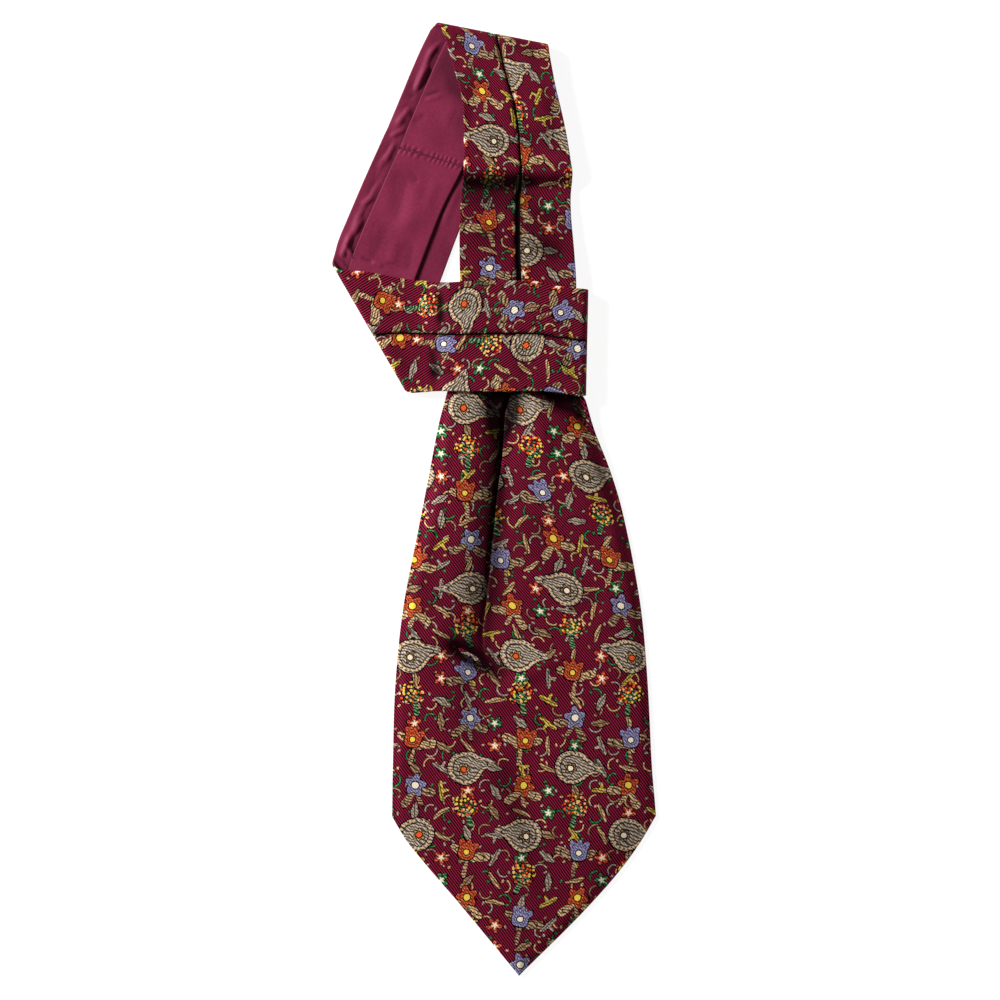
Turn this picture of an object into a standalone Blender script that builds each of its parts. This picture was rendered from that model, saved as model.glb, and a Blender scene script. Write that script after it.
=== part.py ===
"""Silk cravat laid flat, with its pleated neckband folded over itself across the front blade.

Plan sizes are in millimetres from about the middle of the outline, x to the right and y to the loop's top.
Heights are above the surface that the cravat lies on. Everything is scaled to metres as it is meshed.
"""
import math

import bmesh
import bpy
import numpy as np

MILLIMETRE = 0.001

# Middle of the outline in the tables' own numbers, which becomes the origin
MIDDLE_X = -0.33
MIDDLE_Y = -0.5

# Walls of the sewn cloth, and the room left between two of them
PANEL_WALL = 1.4
UNDERLAY_WALL = 1.2
BLADE_WALL = 1.6
WRAP_WALL = 1.6
LAYER_GAP = 0.3
SEAM_GAP = 0.3

# Hidden second blade, inset from the front one, and how far short of it its tip ends. It takes the front
# blade's rows from the fourth one on, of which the last two shape the tip, with its own steps between them.
UNDER_INSET = 7.6
UNDER_TIP_SHORT = 13.0
UNDER_HEM_RISE = 2.0
UNDER_FIRST_ROW = 3
UNDER_TIP_ROWS = 2
UNDER_STEPS = (1, 2, 2, 2, 2, 2, 1, 1, 0)

# Shares of the way from the slanting edge behind the knot to the full blade at which it has a line across
UNDER_SPREAD = (0.0, 0.35, 0.7)

# Steps round a folded edge. It is odd, so that a seam there lies in the middle of a facet.
FOLD_STEPS = 9

# Columns across each piece of the neckband
NECK_COLUMNS = 4
PANEL_COLUMNS = 3
UNDERLAY_COLUMNS = 4
WRAP_COLUMNS = 8

# Half the side of the flat grid that each piece starts from
GRID_HALF = 0.5


def table(columns, *rows):
    """The rows of a table as one list of numbers for each named column."""
    return dict(zip(columns.split(), np.array(rows, float).T))


# The neckband is one long strip. Each row is a line across it: its left and right edge, the height of its
# silk side, where the pleat's centre slit lies as a share of the width, how wide the slit stands open, the
# shares between which the underlay shows, and the number of steps to the next row.
COLUMNS = "left_x left_y left_z right_x right_y right_z slit open from to steps"

# Silk side up, from the knot to the loop's top, with the sharp horizontal crease near y = 185
NECK = table(
    COLUMNS,
    (-21.9, 91.5, 6.8, 46.6, 91.5, 6.8, 0.51, 2.4, 0.22, 0.80, 2),
    (-20.3, 115.2, 6.8, 46.9, 115.2, 6.8, 0.51, 2.4, 0.22, 0.80, 1),
    (-20.1, 123.9, 6.9, 47.2, 123.9, 6.9, 0.51, 2.6, 0.22, 0.80, 3),
    (-20.4, 144.2, 6.3, 46.0, 143.1, 6.0, 0.51, 2.6, 0.22, 0.80, 3),
    (-20.1, 164.5, 5.3, 44.3, 162.8, 4.8, 0.52, 2.6, 0.22, 0.80, 2),
    (-19.3, 175.0, 4.4, 44.0, 173.2, 4.0, 0.52, 2.4, 0.22, 0.80, 2),
    (-18.7, 180.8, 4.3, 44.3, 179.0, 3.8, 0.53, 1.8, 0.22, 0.80, 2),
    (-18.2, 185.4, 6.4, 44.8, 183.7, 6.0, 0.53, 1.2, 0.22, 0.80, 2),
    (-17.9, 190.6, 8.5, 45.0, 188.3, 8.2, 0.53, 0.8, 0.22, 0.80, 2),
    (-17.8, 199.3, 8.3, 44.0, 195.3, 8.0, 0.53, 0.6, 0.22, 0.80, 2),
    (-17.8, 215.0, 7.9, 42.0, 208.0, 7.6, 0.53, 0.5, 0.22, 0.80, 3),
    (-19.1, 232.4, 8.1, 38.9, 223.1, 7.6, 0.53, 0.5, 0.22, 0.80, 3),
    (-23.9, 249.8, 8.7, 35.3, 238.2, 7.9, 0.52, 0.5, 0.22, 0.80, 2),
    (-28.0, 263.7, 9.0, 32.7, 251.5, 8.4, 0.52, 0.5, 0.22, 0.80, 1),
    (-30.3, 270.9, 9.0, 31.5, 258.6, 8.6, 0.52, 0.5, 0.22, 0.80, 0),
)

# Lining side up, behind, from the loop's top to the slanting corner. The fourth row is at the tacked seam.
REAR = table(
    COLUMNS,
    (-37.3, 271.7, 0.0, 28.0, 259.6, 0.0, 0.52, 0.5, 0.17, 0.80, 2),
    (-45.6, 254.4, 0.0, 17.6, 235.9, 0.0, 0.50, 0.5, 0.17, 0.80, 3),
    (-60.1, 219.6, 0.0, -0.4, 199.3, 0.0, 0.50, 0.5, 0.17, 0.79, 2),
    (-65.0, 208.9, 0.0, -5.6, 187.3, 0.0, 0.50, 0.5, 0.18, 0.79, 3),
    (-75.8, 184.8, 0.0, -18.4, 160.5, 0.0, 0.50, 0.5, 0.18, 0.78, 3),
    (-85.7, 161.6, 0.0, -31.0, 127.4, 0.0, 0.50, 0.5, 0.17, 0.78, 3),
    (-90.5, 150.0, 0.0, -41.6, 97.8, 0.0, 0.51, 0.5, 0.17, 0.78, 2),
    (-93.0, 141.3, 0.0, -51.0, 67.5, 0.0, 0.52, 0.5, 0.17, 0.78, 0),
)
TACKED_ROW = 3

# Silk side up again, across the front blade, with the climb on to the knot near x = -30
CROSS = table(
    COLUMNS,
    (-89.8, 132.4, 6.2, -47.6, 61.1, 6.2, 0.53, 0.5, 0.20, 0.78, 2),
    (-73.0, 131.1, 6.2, -41.0, 61.6, 6.2, 0.51, 0.5, 0.20, 0.78, 2),
    (-54.1, 127.5, 6.2, -34.0, 62.1, 6.8, 0.49, 0.5, 0.20, 0.78, 2),
    (-41.0, 126.0, 7.0, -27.7, 62.1, 9.2, 0.48, 0.5, 0.20, 0.78, 3),
    (-29.0, 125.0, 9.6, -20.0, 62.0, 10.2, 0.48, 0.5, 0.20, 0.78, 2),
    (-11.4, 125.7, 10.1, -5.6, 61.9, 10.2, 0.48, 0.5, 0.20, 0.78, 3),
    (18.4, 126.0, 10.2, 20.5, 62.1, 10.3, 0.48, 0.5, 0.20, 0.78, 2),
    (33.6, 123.2, 10.2, 35.0, 61.6, 10.2, 0.48, 0.5, 0.20, 0.78, 3),
    (50.3, 121.3, 10.0, 48.9, 59.0, 10.0, 0.48, 0.5, 0.20, 0.78, 0),
)

# Hidden behind the knot, silk side down, to the slanting edge where it turns into the second blade
WRAP = table(
    COLUMNS,
    (50.1, 120.8, 2.0, 48.9, 60.4, 2.0, 0.5, 0.5, 0.2, 0.8, 2),
    (44.8, 121.0, 2.0, 20.5, 60.7, 2.0, 0.5, 0.5, 0.2, 0.8, 2),
    (40.8, 122.0, 2.0, -2.7, 61.3, 2.0, 0.5, 0.5, 0.2, 0.8, 2),
    (37.9, 122.8, 2.0, -21.0, 61.9, 2.0, 0.5, 0.5, 0.2, 0.8, 0),
)

# Front blade: its side edges, how far the middle of a cross line hangs below its ends, the height of its
# face on its crown and along its rim, how wide the rim's roll is, and the number of steps to the next row
BLADE = table(
    "y left right dip crown rim roll steps",
    (91.1, -21.9, 46.6, 0.0, 6.8, 6.8, 6.0, 2),
    (75.0, -24.3, 47.8, 0.0, 6.9, 6.4, 6.0, 2),
    (61.5, -27.7, 48.9, 0.0, 7.5, 6.1, 6.0, 1),
    (57.0, -28.9, 52.2, 0.5, 7.9, 5.7, 7.0, 3),
    (42.0, -32.9, 57.0, 3.0, 8.5, 4.0, 8.0, 5),
    (12.0, -38.7, 68.6, 12.0, 7.8, 2.2, 9.0, 4),
    (-18.0, -44.5, 76.7, 22.0, 6.6, 1.7, 9.0, 5),
    (-63.0, -53.2, 84.9, 38.0, 5.2, 1.6, 7.0, 4),
    (-108.0, -57.8, 88.9, 57.0, 4.2, 1.6, 6.0, 4),
    (-154.0, -59.2, 91.2, 78.0, 3.7, 1.6, 6.0, 2),
    (-176.0, -59.5, 93.0, 89.0, 3.6, 1.6, 6.0, 2),
    (-184.0, -59.6, 93.6, 92.7, 3.6, 1.6, 6.0, 0),
)

# Columns of a blade's grid on each side of its middle one, and how far they crowd to rim and middle
BLADE_COLUMNS = 12
UNDER_COLUMNS = 7
CROWDING = 0.6

# The two slanting sides of the tip: height above the point at shares of the half width
TIP_SIDES = table(
    "share left_rise right_rise",
    (0.00, 0.0, 0.0),
    (0.50, 44.4, 39.7),
    (0.75, 65.9, 62.5),
    (0.90, 79.9, 79.3),
    (1.00, 92.5, 93.0),
)

# Pleat that opens below the knot: where its valley runs, how deep it is, and its width on either side.
# The left half folds over it, so that side is the steep one. The last two rows lead on to the point.
VALLEY = table(
    "y x depth left_width right_width",
    (75.0, 9.5, 0.0, 3.0, 8.0),
    (60.1, 8.9, 1.6, 3.0, 8.0),
    (48.5, 5.4, 3.0, 3.0, 10.0),
    (22.4, 3.1, 3.6, 3.2, 12.0),
    (5.0, 0.8, 3.0, 3.4, 13.0),
    (-24.0, -1.0, 2.3, 3.8, 14.0),
    (-58.8, -3.9, 1.6, 4.2, 14.0),
    (-80.0, -5.0, 0.8, 5.0, 12.0),
    (-100.0, -1.0, 0.0, 5.0, 10.0),
    (-170.0, 7.5, 0.0, 5.0, 10.0),
    (-276.7, 14.1, 0.0, 5.0, 10.0),
)

# Lesser creases of the front blade: straight troughs that fade over this share of their length at both ends
CREASE_FADE = 1 / 3
CREASES = table(
    "x0 y0 x1 y1 depth width",
    (30.0, 60.0, 52.0, 30.0, 1.3, 4.0),
    (-8.0, -92.0, 14.0, -101.0, 0.7, 4.0),
    (-20.0, 52.0, -30.0, 5.0, 0.6, 5.0),
)

SILK = {"name": "silk_twill", "colour": (0.105, 0.012, 0.035, 1.0), "roughness": 0.55}
SATIN = {"name": "satin_lining", "colour": (0.24, 0.025, 0.08, 1.0), "roughness": 0.38}


def smooth(at, known, values):
    """Reads a smooth curve through the known values, which turns nowhere but at them."""
    known = np.asarray(known, float)
    values = np.asarray(values, float)
    if known[0] > known[-1]:
        known, values = known[::-1], values[::-1]
    step = np.diff(known)
    slope = np.diff(values) / step
    tangent = np.concatenate([slope[:1], (slope[1:] + slope[:-1]) / 2, slope[-1:]])
    least = np.minimum(abs(slope[1:]), abs(slope[:-1]))
    limit = np.where(slope[1:] * slope[:-1] > 0, 3 * least, 0)
    tangent[1:-1] = np.clip(tangent[1:-1], -limit, limit)
    at = np.clip(at, known[0], known[-1])
    index = np.clip(np.searchsorted(known, at) - 1, 0, len(step) - 1)
    t = (at - known[index]) / step[index]
    rise = values[index] * (1 + 2 * t) * (1 - t) ** 2 + values[index + 1] * t * t * (3 - 2 * t)
    lean = tangent[index] * t * (1 - t) ** 2 - tangent[index + 1] * t * t * (1 - t)
    return rise + lean * step[index]


def stations(rows):
    """Every column of a table read at its rows and at the steps between them."""
    ends = np.arange(len(rows["steps"]), dtype=float)
    at = np.concatenate(
        [row + np.arange(count) / count for row, count in enumerate(rows["steps"]) if count] + [ends[-1:]]
    )
    read = {name: smooth(at, ends, column) for name, column in rows.items() if name != "steps"}
    read["row"] = at
    return read


def half_turn(start, end):
    """The stations round a fold, between the last one of a stretch and the first one of the next."""
    turned = {name: [] for name in start}
    across = np.array([start["right_x"] - start["left_x"], start["right_y"] - start["left_y"]])
    outward = np.array([-across[1], across[0]]) / np.hypot(*across)
    if (outward @ start["heading"]) < 0:
        outward = -outward
    for step in range(1, FOLD_STEPS):
        share = step / FOLD_STEPS
        angle = math.pi * share
        for name in turned:
            if name != "heading":
                turned[name].append(start[name] * (1 - share) + end[name] * share)
        for side in ("left", "right"):
            radius = (start[side + "_z"] - end[side + "_z"]) / 2
            middle = (start[side + "_z"] + end[side + "_z"]) / 2
            reach = abs(radius) * math.sin(angle)
            turned[side + "_x"][-1] += outward[0] * reach
            turned[side + "_y"][-1] += outward[1] * reach
            turned[side + "_z"][-1] = middle + radius * math.cos(angle)
    turned.pop("heading")
    return turned


def chain(*stretches):
    """One strip from stretches with a half turn between each two, and the station where each one starts."""
    strip = {name: list(column) for name, column in stretches[0].items()}
    starts = [0]
    for before, after in zip(stretches, stretches[1:]):
        start = {name: column[-1] for name, column in before.items()}
        start["heading"] = np.array(
            [
                sum(before[side + axis][-1] - before[side + axis][-2] for side in ("left", "right"))
                for axis in ("_x", "_y")
            ]
        )
        turned = half_turn(start, {name: column[0] for name, column in after.items()})
        for name, column in strip.items():
            column.extend(turned[name])
        starts.append(len(strip["row"]))
        for name, column in strip.items():
            column.extend(after[name])
    return {name: np.array(column) for name, column in strip.items()}, starts


class Band:
    """The neckband's silk side as a strip ruled between its two edges."""

    def __init__(self, strip):
        self.strip = strip
        self.left = np.array([strip["left" + axis] for axis in ("_x", "_y", "_z")]).T
        self.right = np.array([strip["right" + axis] for axis in ("_x", "_y", "_z")]).T

    def read(self, name, station):
        return np.interp(station, np.arange(len(self.left)), self.strip[name])

    def edge(self, rail, station):
        return np.array([np.interp(station, np.arange(len(rail)), rail[:, axis]) for axis in range(3)])

    def width(self, station):
        return np.linalg.norm(self.edge(self.right, station) - self.edge(self.left, station))

    def step_length(self, station, direction):
        """Length of the step from this station, or round it, towards the next one (1) or the last (-1)."""
        before = math.floor(station) if direction > 0 else math.ceil(station) - 1
        here, there = (self.edge(self.left, at) + self.edge(self.right, at) for at in (before, before + 1))
        return np.linalg.norm(there - here) / 2

    def point(self, share, station, depth):
        """A point at this share of the width and this depth under the silk side."""
        middle = self.edge(self.left, station) * (1 - share) + self.edge(self.right, station) * share
        if depth == 0:
            return middle
        before = max(station - 1, 0)
        after = min(station + 1, len(self.left) - 1)
        along = (self.edge(self.left, after) - self.edge(self.left, before)) * (1 - share)
        along += (self.edge(self.right, after) - self.edge(self.right, before)) * share
        across = self.edge(self.right, station) - self.edge(self.left, station)
        normal = np.cross(across, along)
        return middle - normal / np.linalg.norm(normal) * depth

    # Shares of the width at which a piece of the band begins or ends on a line

    def left_edge(self, line):
        return 0.0

    def right_edge(self, line):
        return 1.0

    def slit_left(self, line):
        return self.read("slit", line) - self.read("open", line) / 2 / self.width(line)

    def slit_right(self, line):
        return self.read("slit", line) + self.read("open", line) / 2 / self.width(line)

    def underlay_from(self, line):
        return self.read("from", line)

    def underlay_to(self, line):
        return self.read("to", line)


def finish(cloth):
    """The cloth's own material."""
    material = bpy.data.materials.get(cloth["name"]) or bpy.data.materials.new(cloth["name"])
    material.use_nodes = True
    shader = material.node_tree.nodes["Principled BSDF"]
    shader.inputs["Base Color"].default_value = cloth["colour"]
    shader.inputs["Roughness"].default_value = cloth["roughness"]
    shader.inputs["Metallic"].default_value = 0.0
    return material


def sheet(name, points, wall, cloth):
    """A wall of cloth whose outer face is a grid of points, a row for each line along it."""
    lines, columns = points.shape[:2]
    grid = bmesh.new()
    bmesh.ops.create_grid(grid, x_segments=columns - 1, y_segments=lines - 1, size=GRID_HALF)
    for vert in grid.verts:
        column = round((vert.co.x + GRID_HALF) * (columns - 1))
        line = round((vert.co.y + GRID_HALF) * (lines - 1))
        vert.co = (points[line, column] - (MIDDLE_X, MIDDLE_Y, 0)) * MILLIMETRE
    mesh = bpy.data.meshes.new(name)
    grid.to_mesh(mesh)
    grid.free()
    mesh.shade_smooth()
    mesh.materials.append(finish(cloth))
    piece = bpy.data.objects.new(name, mesh)
    collection.objects.link(piece)
    thicken = piece.modifiers.new("wall", "SOLIDIFY")
    thicken.thickness = wall * MILLIMETRE
    thicken.offset = -1.0
    thicken.use_even_offset = True
    thicken.use_quality_normals = True
    return piece


def band_piece(name, band, first, last, share_from, share_to, columns, depth, wall, cloth):
    """A stretch of one layer of the band, trimmed by half a seam's gap at both ends."""
    trim = SEAM_GAP / 2
    start = first + trim / band.step_length(first, 1)
    stop = last - trim / band.step_length(last, -1)
    lines = [start, *range(math.floor(first) + 1, math.ceil(last)), stop]
    points = np.array(
        [
            [
                band.point(share, line, depth)
                for share in np.linspace(share_from(line), share_to(line), columns + 1)
            ]
            for line in lines
        ]
    )
    return sheet(name, points, wall, cloth)


def panels(band, names, first, last, columns):
    """The two outer panels of a stretch, either side of the centre slit."""
    shares = (band.left_edge, band.slit_left), (band.slit_right, band.right_edge)
    for name, (share_from, share_to) in zip(names, shares):
        band_piece(name, band, first, last, share_from, share_to, columns, 0, PANEL_WALL, SILK)


def underlay(band, name, first, last):
    """The pleat's underlay of a stretch, on the lining side of the two panels."""
    depth = PANEL_WALL + LAYER_GAP
    shares = band.underlay_from, band.underlay_to
    band_piece(name, band, first, last, *shares, UNDERLAY_COLUMNS, depth, UNDERLAY_WALL, SATIN)


def wrap(band, first, last):
    """The hidden stretch behind the knot, where the pleat no longer shows, as one wall."""
    shares = band.left_edge, band.right_edge
    band_piece("wrap", band, first, last, *shares, WRAP_COLUMNS, 0, WRAP_WALL, SILK)


def rim_distance(points, rim):
    """Distance in plan from each point to the nearest stretch of an outline."""
    nearest = np.full(points.shape[:-1], np.inf)
    for start, end in zip(rim, rim[1:]):
        run = end - start
        share = np.clip(((points - start) @ run) / (run @ run), 0, 1)
        gap = points - (start + share[..., None] * run)
        nearest = np.minimum(nearest, np.hypot(gap[..., 0], gap[..., 1]))
    return nearest


def column_shares(middle, columns):
    """Shares of the width at which a blade's columns run, crowded to both edges and to the middle one."""
    even = np.linspace(0, 1, columns + 1)
    half = even * (1 - CROWDING) + (1 - np.cos(math.pi * even)) / 2 * CROWDING
    return np.concatenate([half * middle, middle + half[1:] * (1 - middle)])


def blade_plan(rows, columns):
    """Plan of a blade, row by row. Its middle column runs down the valley to the point of the tip."""
    reads = stations(rows)
    full_dip = rows["dip"][-1]
    plan = []
    for y, left, right, dip in zip(reads["y"], reads["left"], reads["right"], reads["dip"]):
        middle = (smooth(y - dip, VALLEY["y"], VALLEY["x"]) - left) / (right - left)
        shares = column_shares(middle, columns)
        beside = np.where(shares < middle, (middle - shares) / middle, (shares - middle) / (1 - middle))
        rises = [smooth(beside, TIP_SIDES["share"], TIP_SIDES[side]) for side in ("left_rise", "right_rise")]
        pointed = 1 - np.where(shares < middle, *rises) / full_dip
        blend = (dip / full_dip) ** 2
        drop = dip * (pointed * blend + (1 - beside**2) * (1 - blend))
        plan.append(np.stack([left + (right - left) * shares, y - drop], axis=-1))
    return np.array(plan)


def ramp(t):
    t = np.clip(t, 0, 1)
    return t * t * (3 - 2 * t)


def blade_height(plan):
    """Height of the front blade's face: a crown that rolls down to its rim, less valley and creases."""
    rim = np.concatenate([plan[:, 0], plan[-1, 1:], plan[::-1, -1][1:]])
    y = plan[..., 1]
    crown = smooth(y, BLADE["y"], BLADE["crown"])
    edge = smooth(y, BLADE["y"], BLADE["rim"])
    roll = smooth(y, BLADE["y"], BLADE["roll"])
    height = edge + (crown - edge) * ramp(rim_distance(plan, rim) / roll)
    beside = plan[..., 0] - smooth(y, VALLEY["y"], VALLEY["x"])
    widths = [smooth(y, VALLEY["y"], VALLEY[side]) for side in ("left_width", "right_width")]
    width = np.where(beside < 0, *widths)
    height -= smooth(y, VALLEY["y"], VALLEY["depth"]) * np.exp(-((beside / width) ** 2))
    for x0, y0, x1, y1, depth, width in zip(*CREASES.values()):
        run = np.array([x1 - x0, y1 - y0])
        offset = plan - (x0, y0)
        along = (offset @ run) / (run @ run)
        beside = (offset[..., 0] * run[1] - offset[..., 1] * run[0]) / np.hypot(*run)
        fade = ramp(along / CREASE_FADE) * ramp((1 - along) / CREASE_FADE)
        height -= depth * fade * np.exp(-((beside / width) ** 2))
    return height


def front_blade():
    plan = blade_plan(BLADE, BLADE_COLUMNS)
    height = blade_height(plan)
    points = np.concatenate([plan, height[..., None]], axis=-1)
    # Rows run down the blade, so they are turned round to keep the outer face up
    sheet("front_blade", points[::-1], BLADE_WALL, SILK)


def under_blade():
    """The second blade, flat on the surface, from the slanting edge behind the knot."""
    rows = {name: column[UNDER_FIRST_ROW:].copy() for name, column in BLADE.items()}
    rows["left"] += UNDER_INSET
    rows["right"] -= UNDER_INSET
    rows["dip"][-UNDER_TIP_ROWS:] -= UNDER_TIP_SHORT
    rows["y"][-UNDER_TIP_ROWS:] += UNDER_HEM_RISE
    rows["steps"] = np.array(UNDER_STEPS)
    plan = blade_plan(rows, UNDER_COLUMNS)
    head_left = np.array([WRAP["right_x"][-1], WRAP["right_y"][-1]])
    head_right = np.array([WRAP["left_x"][-1], WRAP["left_y"][-1]])
    shares = np.linspace(0, 1, 2 * UNDER_COLUMNS + 1)[:, None]
    head = head_left + (head_right - head_left) * shares
    between = [head * (1 - spread) + plan[0] * spread for spread in UNDER_SPREAD]
    plan = np.concatenate([between, plan])
    points = np.concatenate([plan, np.full(plan.shape[:2] + (1,), BLADE_WALL)], axis=-1)
    sheet("under_blade", points[::-1], BLADE_WALL, SILK)


for leftover in list(bpy.data.objects):
    bpy.data.objects.remove(leftover)

collection = bpy.data.collections.new("silk_cravat")
bpy.context.scene.collection.children.link(collection)

stretches = [stations(rows) for rows in (NECK, REAR, CROSS, WRAP)]
strip, (neck_start, rear_start, cross_start, wrap_start) = chain(*stretches)
band = Band(strip)
top_fold, corner_fold, right_fold = (
    start - FOLD_STEPS / 2 for start in (rear_start, cross_start, wrap_start)
)
tacked = rear_start + int(sum(REAR["steps"][:TACKED_ROW]))
band_end = len(strip["row"]) - 1

panels(band, ("neck_left_panel", "neck_right_panel"), neck_start, top_fold, NECK_COLUMNS)
underlay(band, "neck_underlay", neck_start, top_fold)
panels(band, ("rear_left_panel", "rear_right_panel"), top_fold, corner_fold, PANEL_COLUMNS)
underlay(band, "rear_underlay_upper", top_fold, tacked)
underlay(band, "rear_underlay_lower", tacked, cross_start - FOLD_STEPS)
panels(band, ("cross_upper_panel", "cross_lower_panel"), corner_fold, right_fold, PANEL_COLUMNS)
underlay(band, "cross_underlay", cross_start, wrap_start - FOLD_STEPS)
wrap(band, right_fold, band_end)
front_blade()
under_blade()
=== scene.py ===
"""Looks of the silk cravat: printed twill, satin lining, creases, stitches, soft studio light.

Plan sizes are in millimetres in the tables' own numbers, x to the right and y to the loop's top. Heights are above
the surface that the cravat lies on. Everything is scaled to metres as it is meshed.
"""
import math
from functools import partialmethod

import bmesh
import bpy
import numpy as np
from mathutils import Matrix, Vector


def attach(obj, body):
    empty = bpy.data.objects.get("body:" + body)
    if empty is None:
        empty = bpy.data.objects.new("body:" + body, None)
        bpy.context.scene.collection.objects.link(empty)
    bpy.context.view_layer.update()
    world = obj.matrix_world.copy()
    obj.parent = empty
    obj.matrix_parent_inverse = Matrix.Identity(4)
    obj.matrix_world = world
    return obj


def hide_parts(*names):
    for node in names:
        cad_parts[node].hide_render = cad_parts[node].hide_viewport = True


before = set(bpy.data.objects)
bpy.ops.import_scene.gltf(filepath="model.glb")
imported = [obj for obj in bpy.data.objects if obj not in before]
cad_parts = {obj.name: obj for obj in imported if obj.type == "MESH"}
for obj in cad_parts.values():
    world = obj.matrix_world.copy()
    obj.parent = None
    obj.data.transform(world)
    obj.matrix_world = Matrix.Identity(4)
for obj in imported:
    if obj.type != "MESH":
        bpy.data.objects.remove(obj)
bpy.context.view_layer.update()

MILLIMETRE = 0.001
TURN = 2 * math.pi
SIDES = ("left", "right")
WHITE = (1.0, 1.0, 1.0, 1.0)

# Middle of the outline in the tables' own numbers, which is the origin
MIDDLE_X = -0.33
MIDDLE_Y = -0.5

# Walls of the sewn cloth as built, and of the thin shells that show
PANEL_WALL = 1.4
LAYER_GAP = 0.3
SILK_SHELL = 0.9
LINING_SHELL = 0.5
LINING_INSET = 0.5
PLEAT_SHELL = 1.2
WRAP_SHELL = 1.5
BLADE_SHELL = 1.0
BLADE_RIM_SHELL = 1.6
BLADE_RIM_WIDTH = 6.0
UNDER_SHELL = 1.6

# Steps round the rim of a shell, the turns by which a hem closes, and the angle past which an edge stays sharp
RIM_STEPS = 4
END_TURNS = (30, 55, 75)
SHARP_DEGREES = 62

# Real sizes of the cloth: finished width of the band, and the cloth folded away in its pleat
BAND_WIDTH = 63.0
PLEAT_HIDDEN = 74.0

# Hidden second blade, inset from the front one
UNDER_INSET = 7.6
UNDER_TIP_SHORT = 13.0
UNDER_HEM_RISE = 2.0
UNDER_FIRST_ROW = 3
UNDER_TIP_ROWS = 2
UNDER_STEPS = (1, 2, 2, 2, 2, 2, 1, 1, 0)
UNDER_SPREAD = (0.0, 0.35, 0.7)
UNDER_RELIEF = 0.4
UNDER_RIM_WIDTH = 8.0

# Lines between two steps of the tables, and round a fold
BAND_FINER = 7
BLADE_FINER = 8
UNDER_FINER = 3
FOLD_LINES = 27

# Columns across the pieces
BLADE_COLUMNS = 70
UNDER_COLUMNS = 20
PANEL_COLUMNS = 44
LINING_COLUMNS = 40
UNDERLAY_COLUMNS = 72
WRAP_COLUMNS = 40
CROWDING = 0.6

# Photo scale, for features that are placed by a pixel of the photograph
PIXEL = 0.58
PHOTO_X = 494.7
PHOTO_Y = 498.7


def table(columns, numbers):
    """Rows of numbers, with or without commas between them, as one list for each named column."""
    names = columns.split()
    cells = np.array(numbers.replace(",", " ").split(), float)
    return dict(zip(names, cells.reshape(-1, len(names)).T))


# A stretch of the band: both edges, where the slit and the pleat's underlay lie, as shares of the width, how far
# the slit stands open, and the number of steps to the next row
STRETCH = "left_x left_y left_z right_x right_y right_z slit open from to steps"

# Silk side up, from the knot to the loop's top, with the sharp horizontal crease near y = 185
NECK = table(STRETCH, """
    -21.9 91.5 6.8 46.6 91.5 6.8 0.51 2.4 0.22 0.8 2
    -20.3 115.2 6.8 46.9 115.2 6.8 0.51 2.4 0.22 0.8 1
    -20.1 123.9 6.9 47.2 123.9 6.9 0.51 2.6 0.22 0.8 3
    -20.4 144.2 6.3 46 143.1 6 0.51 2.6 0.22 0.8 3
    -20.1 164.5 5.3 44.3 162.8 4.8 0.52 2.6 0.22 0.8 2
    -19.3 175 4.4 44 173.2 4 0.52 2.4 0.22 0.8 2
    -18.7 180.8 4.3 44.3 179 3.8 0.53 1.8 0.22 0.8 2
    -18.2 185.4 6.4 44.8 183.7 6 0.53 1.2 0.22 0.8 2
    -17.9 190.6 8.5 45 188.3 8.2 0.53 0.8 0.22 0.8 2
    -17.8 199.3 8.3 44 195.3 8 0.53 0.6 0.22 0.8 2
    -17.8 215 7.9 42 208 7.6 0.53 0.5 0.22 0.8 3
    -19.1 232.4 8.1 38.9 223.1 7.6 0.53 0.5 0.22 0.8 3
    -23.9 249.8 8.7 35.3 238.2 7.9 0.52 0.5 0.22 0.8 2
    -28 263.7 9 32.7 251.5 8.4 0.52 0.5 0.22 0.8 1
    -30.3 270.9 9 31.5 258.6 8.6 0.52 0.5 0.22 0.8 0
""")

# Lining side up, behind, from the loop's top to the slanting corner. The fourth row is at the tacked seam.
REAR = table(STRETCH, """
    -37.3 271.7 0 28 259.6 0 0.52 0.5 0.17 0.8 2
    -45.6 254.4 0 17.6 235.9 0 0.5 0.5 0.17 0.8 3
    -60.1 219.6 0 -0.4 199.3 0 0.5 0.5 0.17 0.79 2
    -65 208.9 0 -5.6 187.3 0 0.5 0.5 0.18 0.79 3
    -75.8 184.8 0 -18.4 160.5 0 0.5 0.5 0.18 0.78 3
    -85.7 161.6 0 -31 127.4 0 0.5 0.5 0.17 0.78 3
    -90.5 150 0 -41.6 97.8 0 0.51 0.5 0.17 0.78 2
    -93 141.3 0 -51 67.5 0 0.52 0.5 0.17 0.78 0
""")
TACKED_ROW = 3

# Silk side up again, across the front blade, with the climb on to the knot near x = -30
CROSS = table(STRETCH, """
    -89.8 132.4 6.2 -47.6 61.1 6.2 0.53 0.5 0.2 0.78 2
    -73 131.1 6.2 -41 61.6 6.2 0.51 0.5 0.2 0.78 2
    -54.1 127.5 6.2 -34 62.1 6.8 0.49 0.5 0.2 0.78 2
    -41 126 7 -27.7 62.1 9.2 0.48 0.5 0.2 0.78 3
    -29 125 9.6 -20 62 10.2 0.48 0.5 0.2 0.78 2
    -11.4 125.7 10.1 -5.6 61.9 10.2 0.48 0.5 0.2 0.78 3
    18.4 126 10.2 20.5 62.1 10.3 0.48 0.5 0.2 0.78 2
    33.6 123.2 10.2 35 61.6 10.2 0.48 0.5 0.2 0.78 3
    50.3 121.3 10 48.9 59 10 0.48 0.5 0.2 0.78 0
""")

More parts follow.
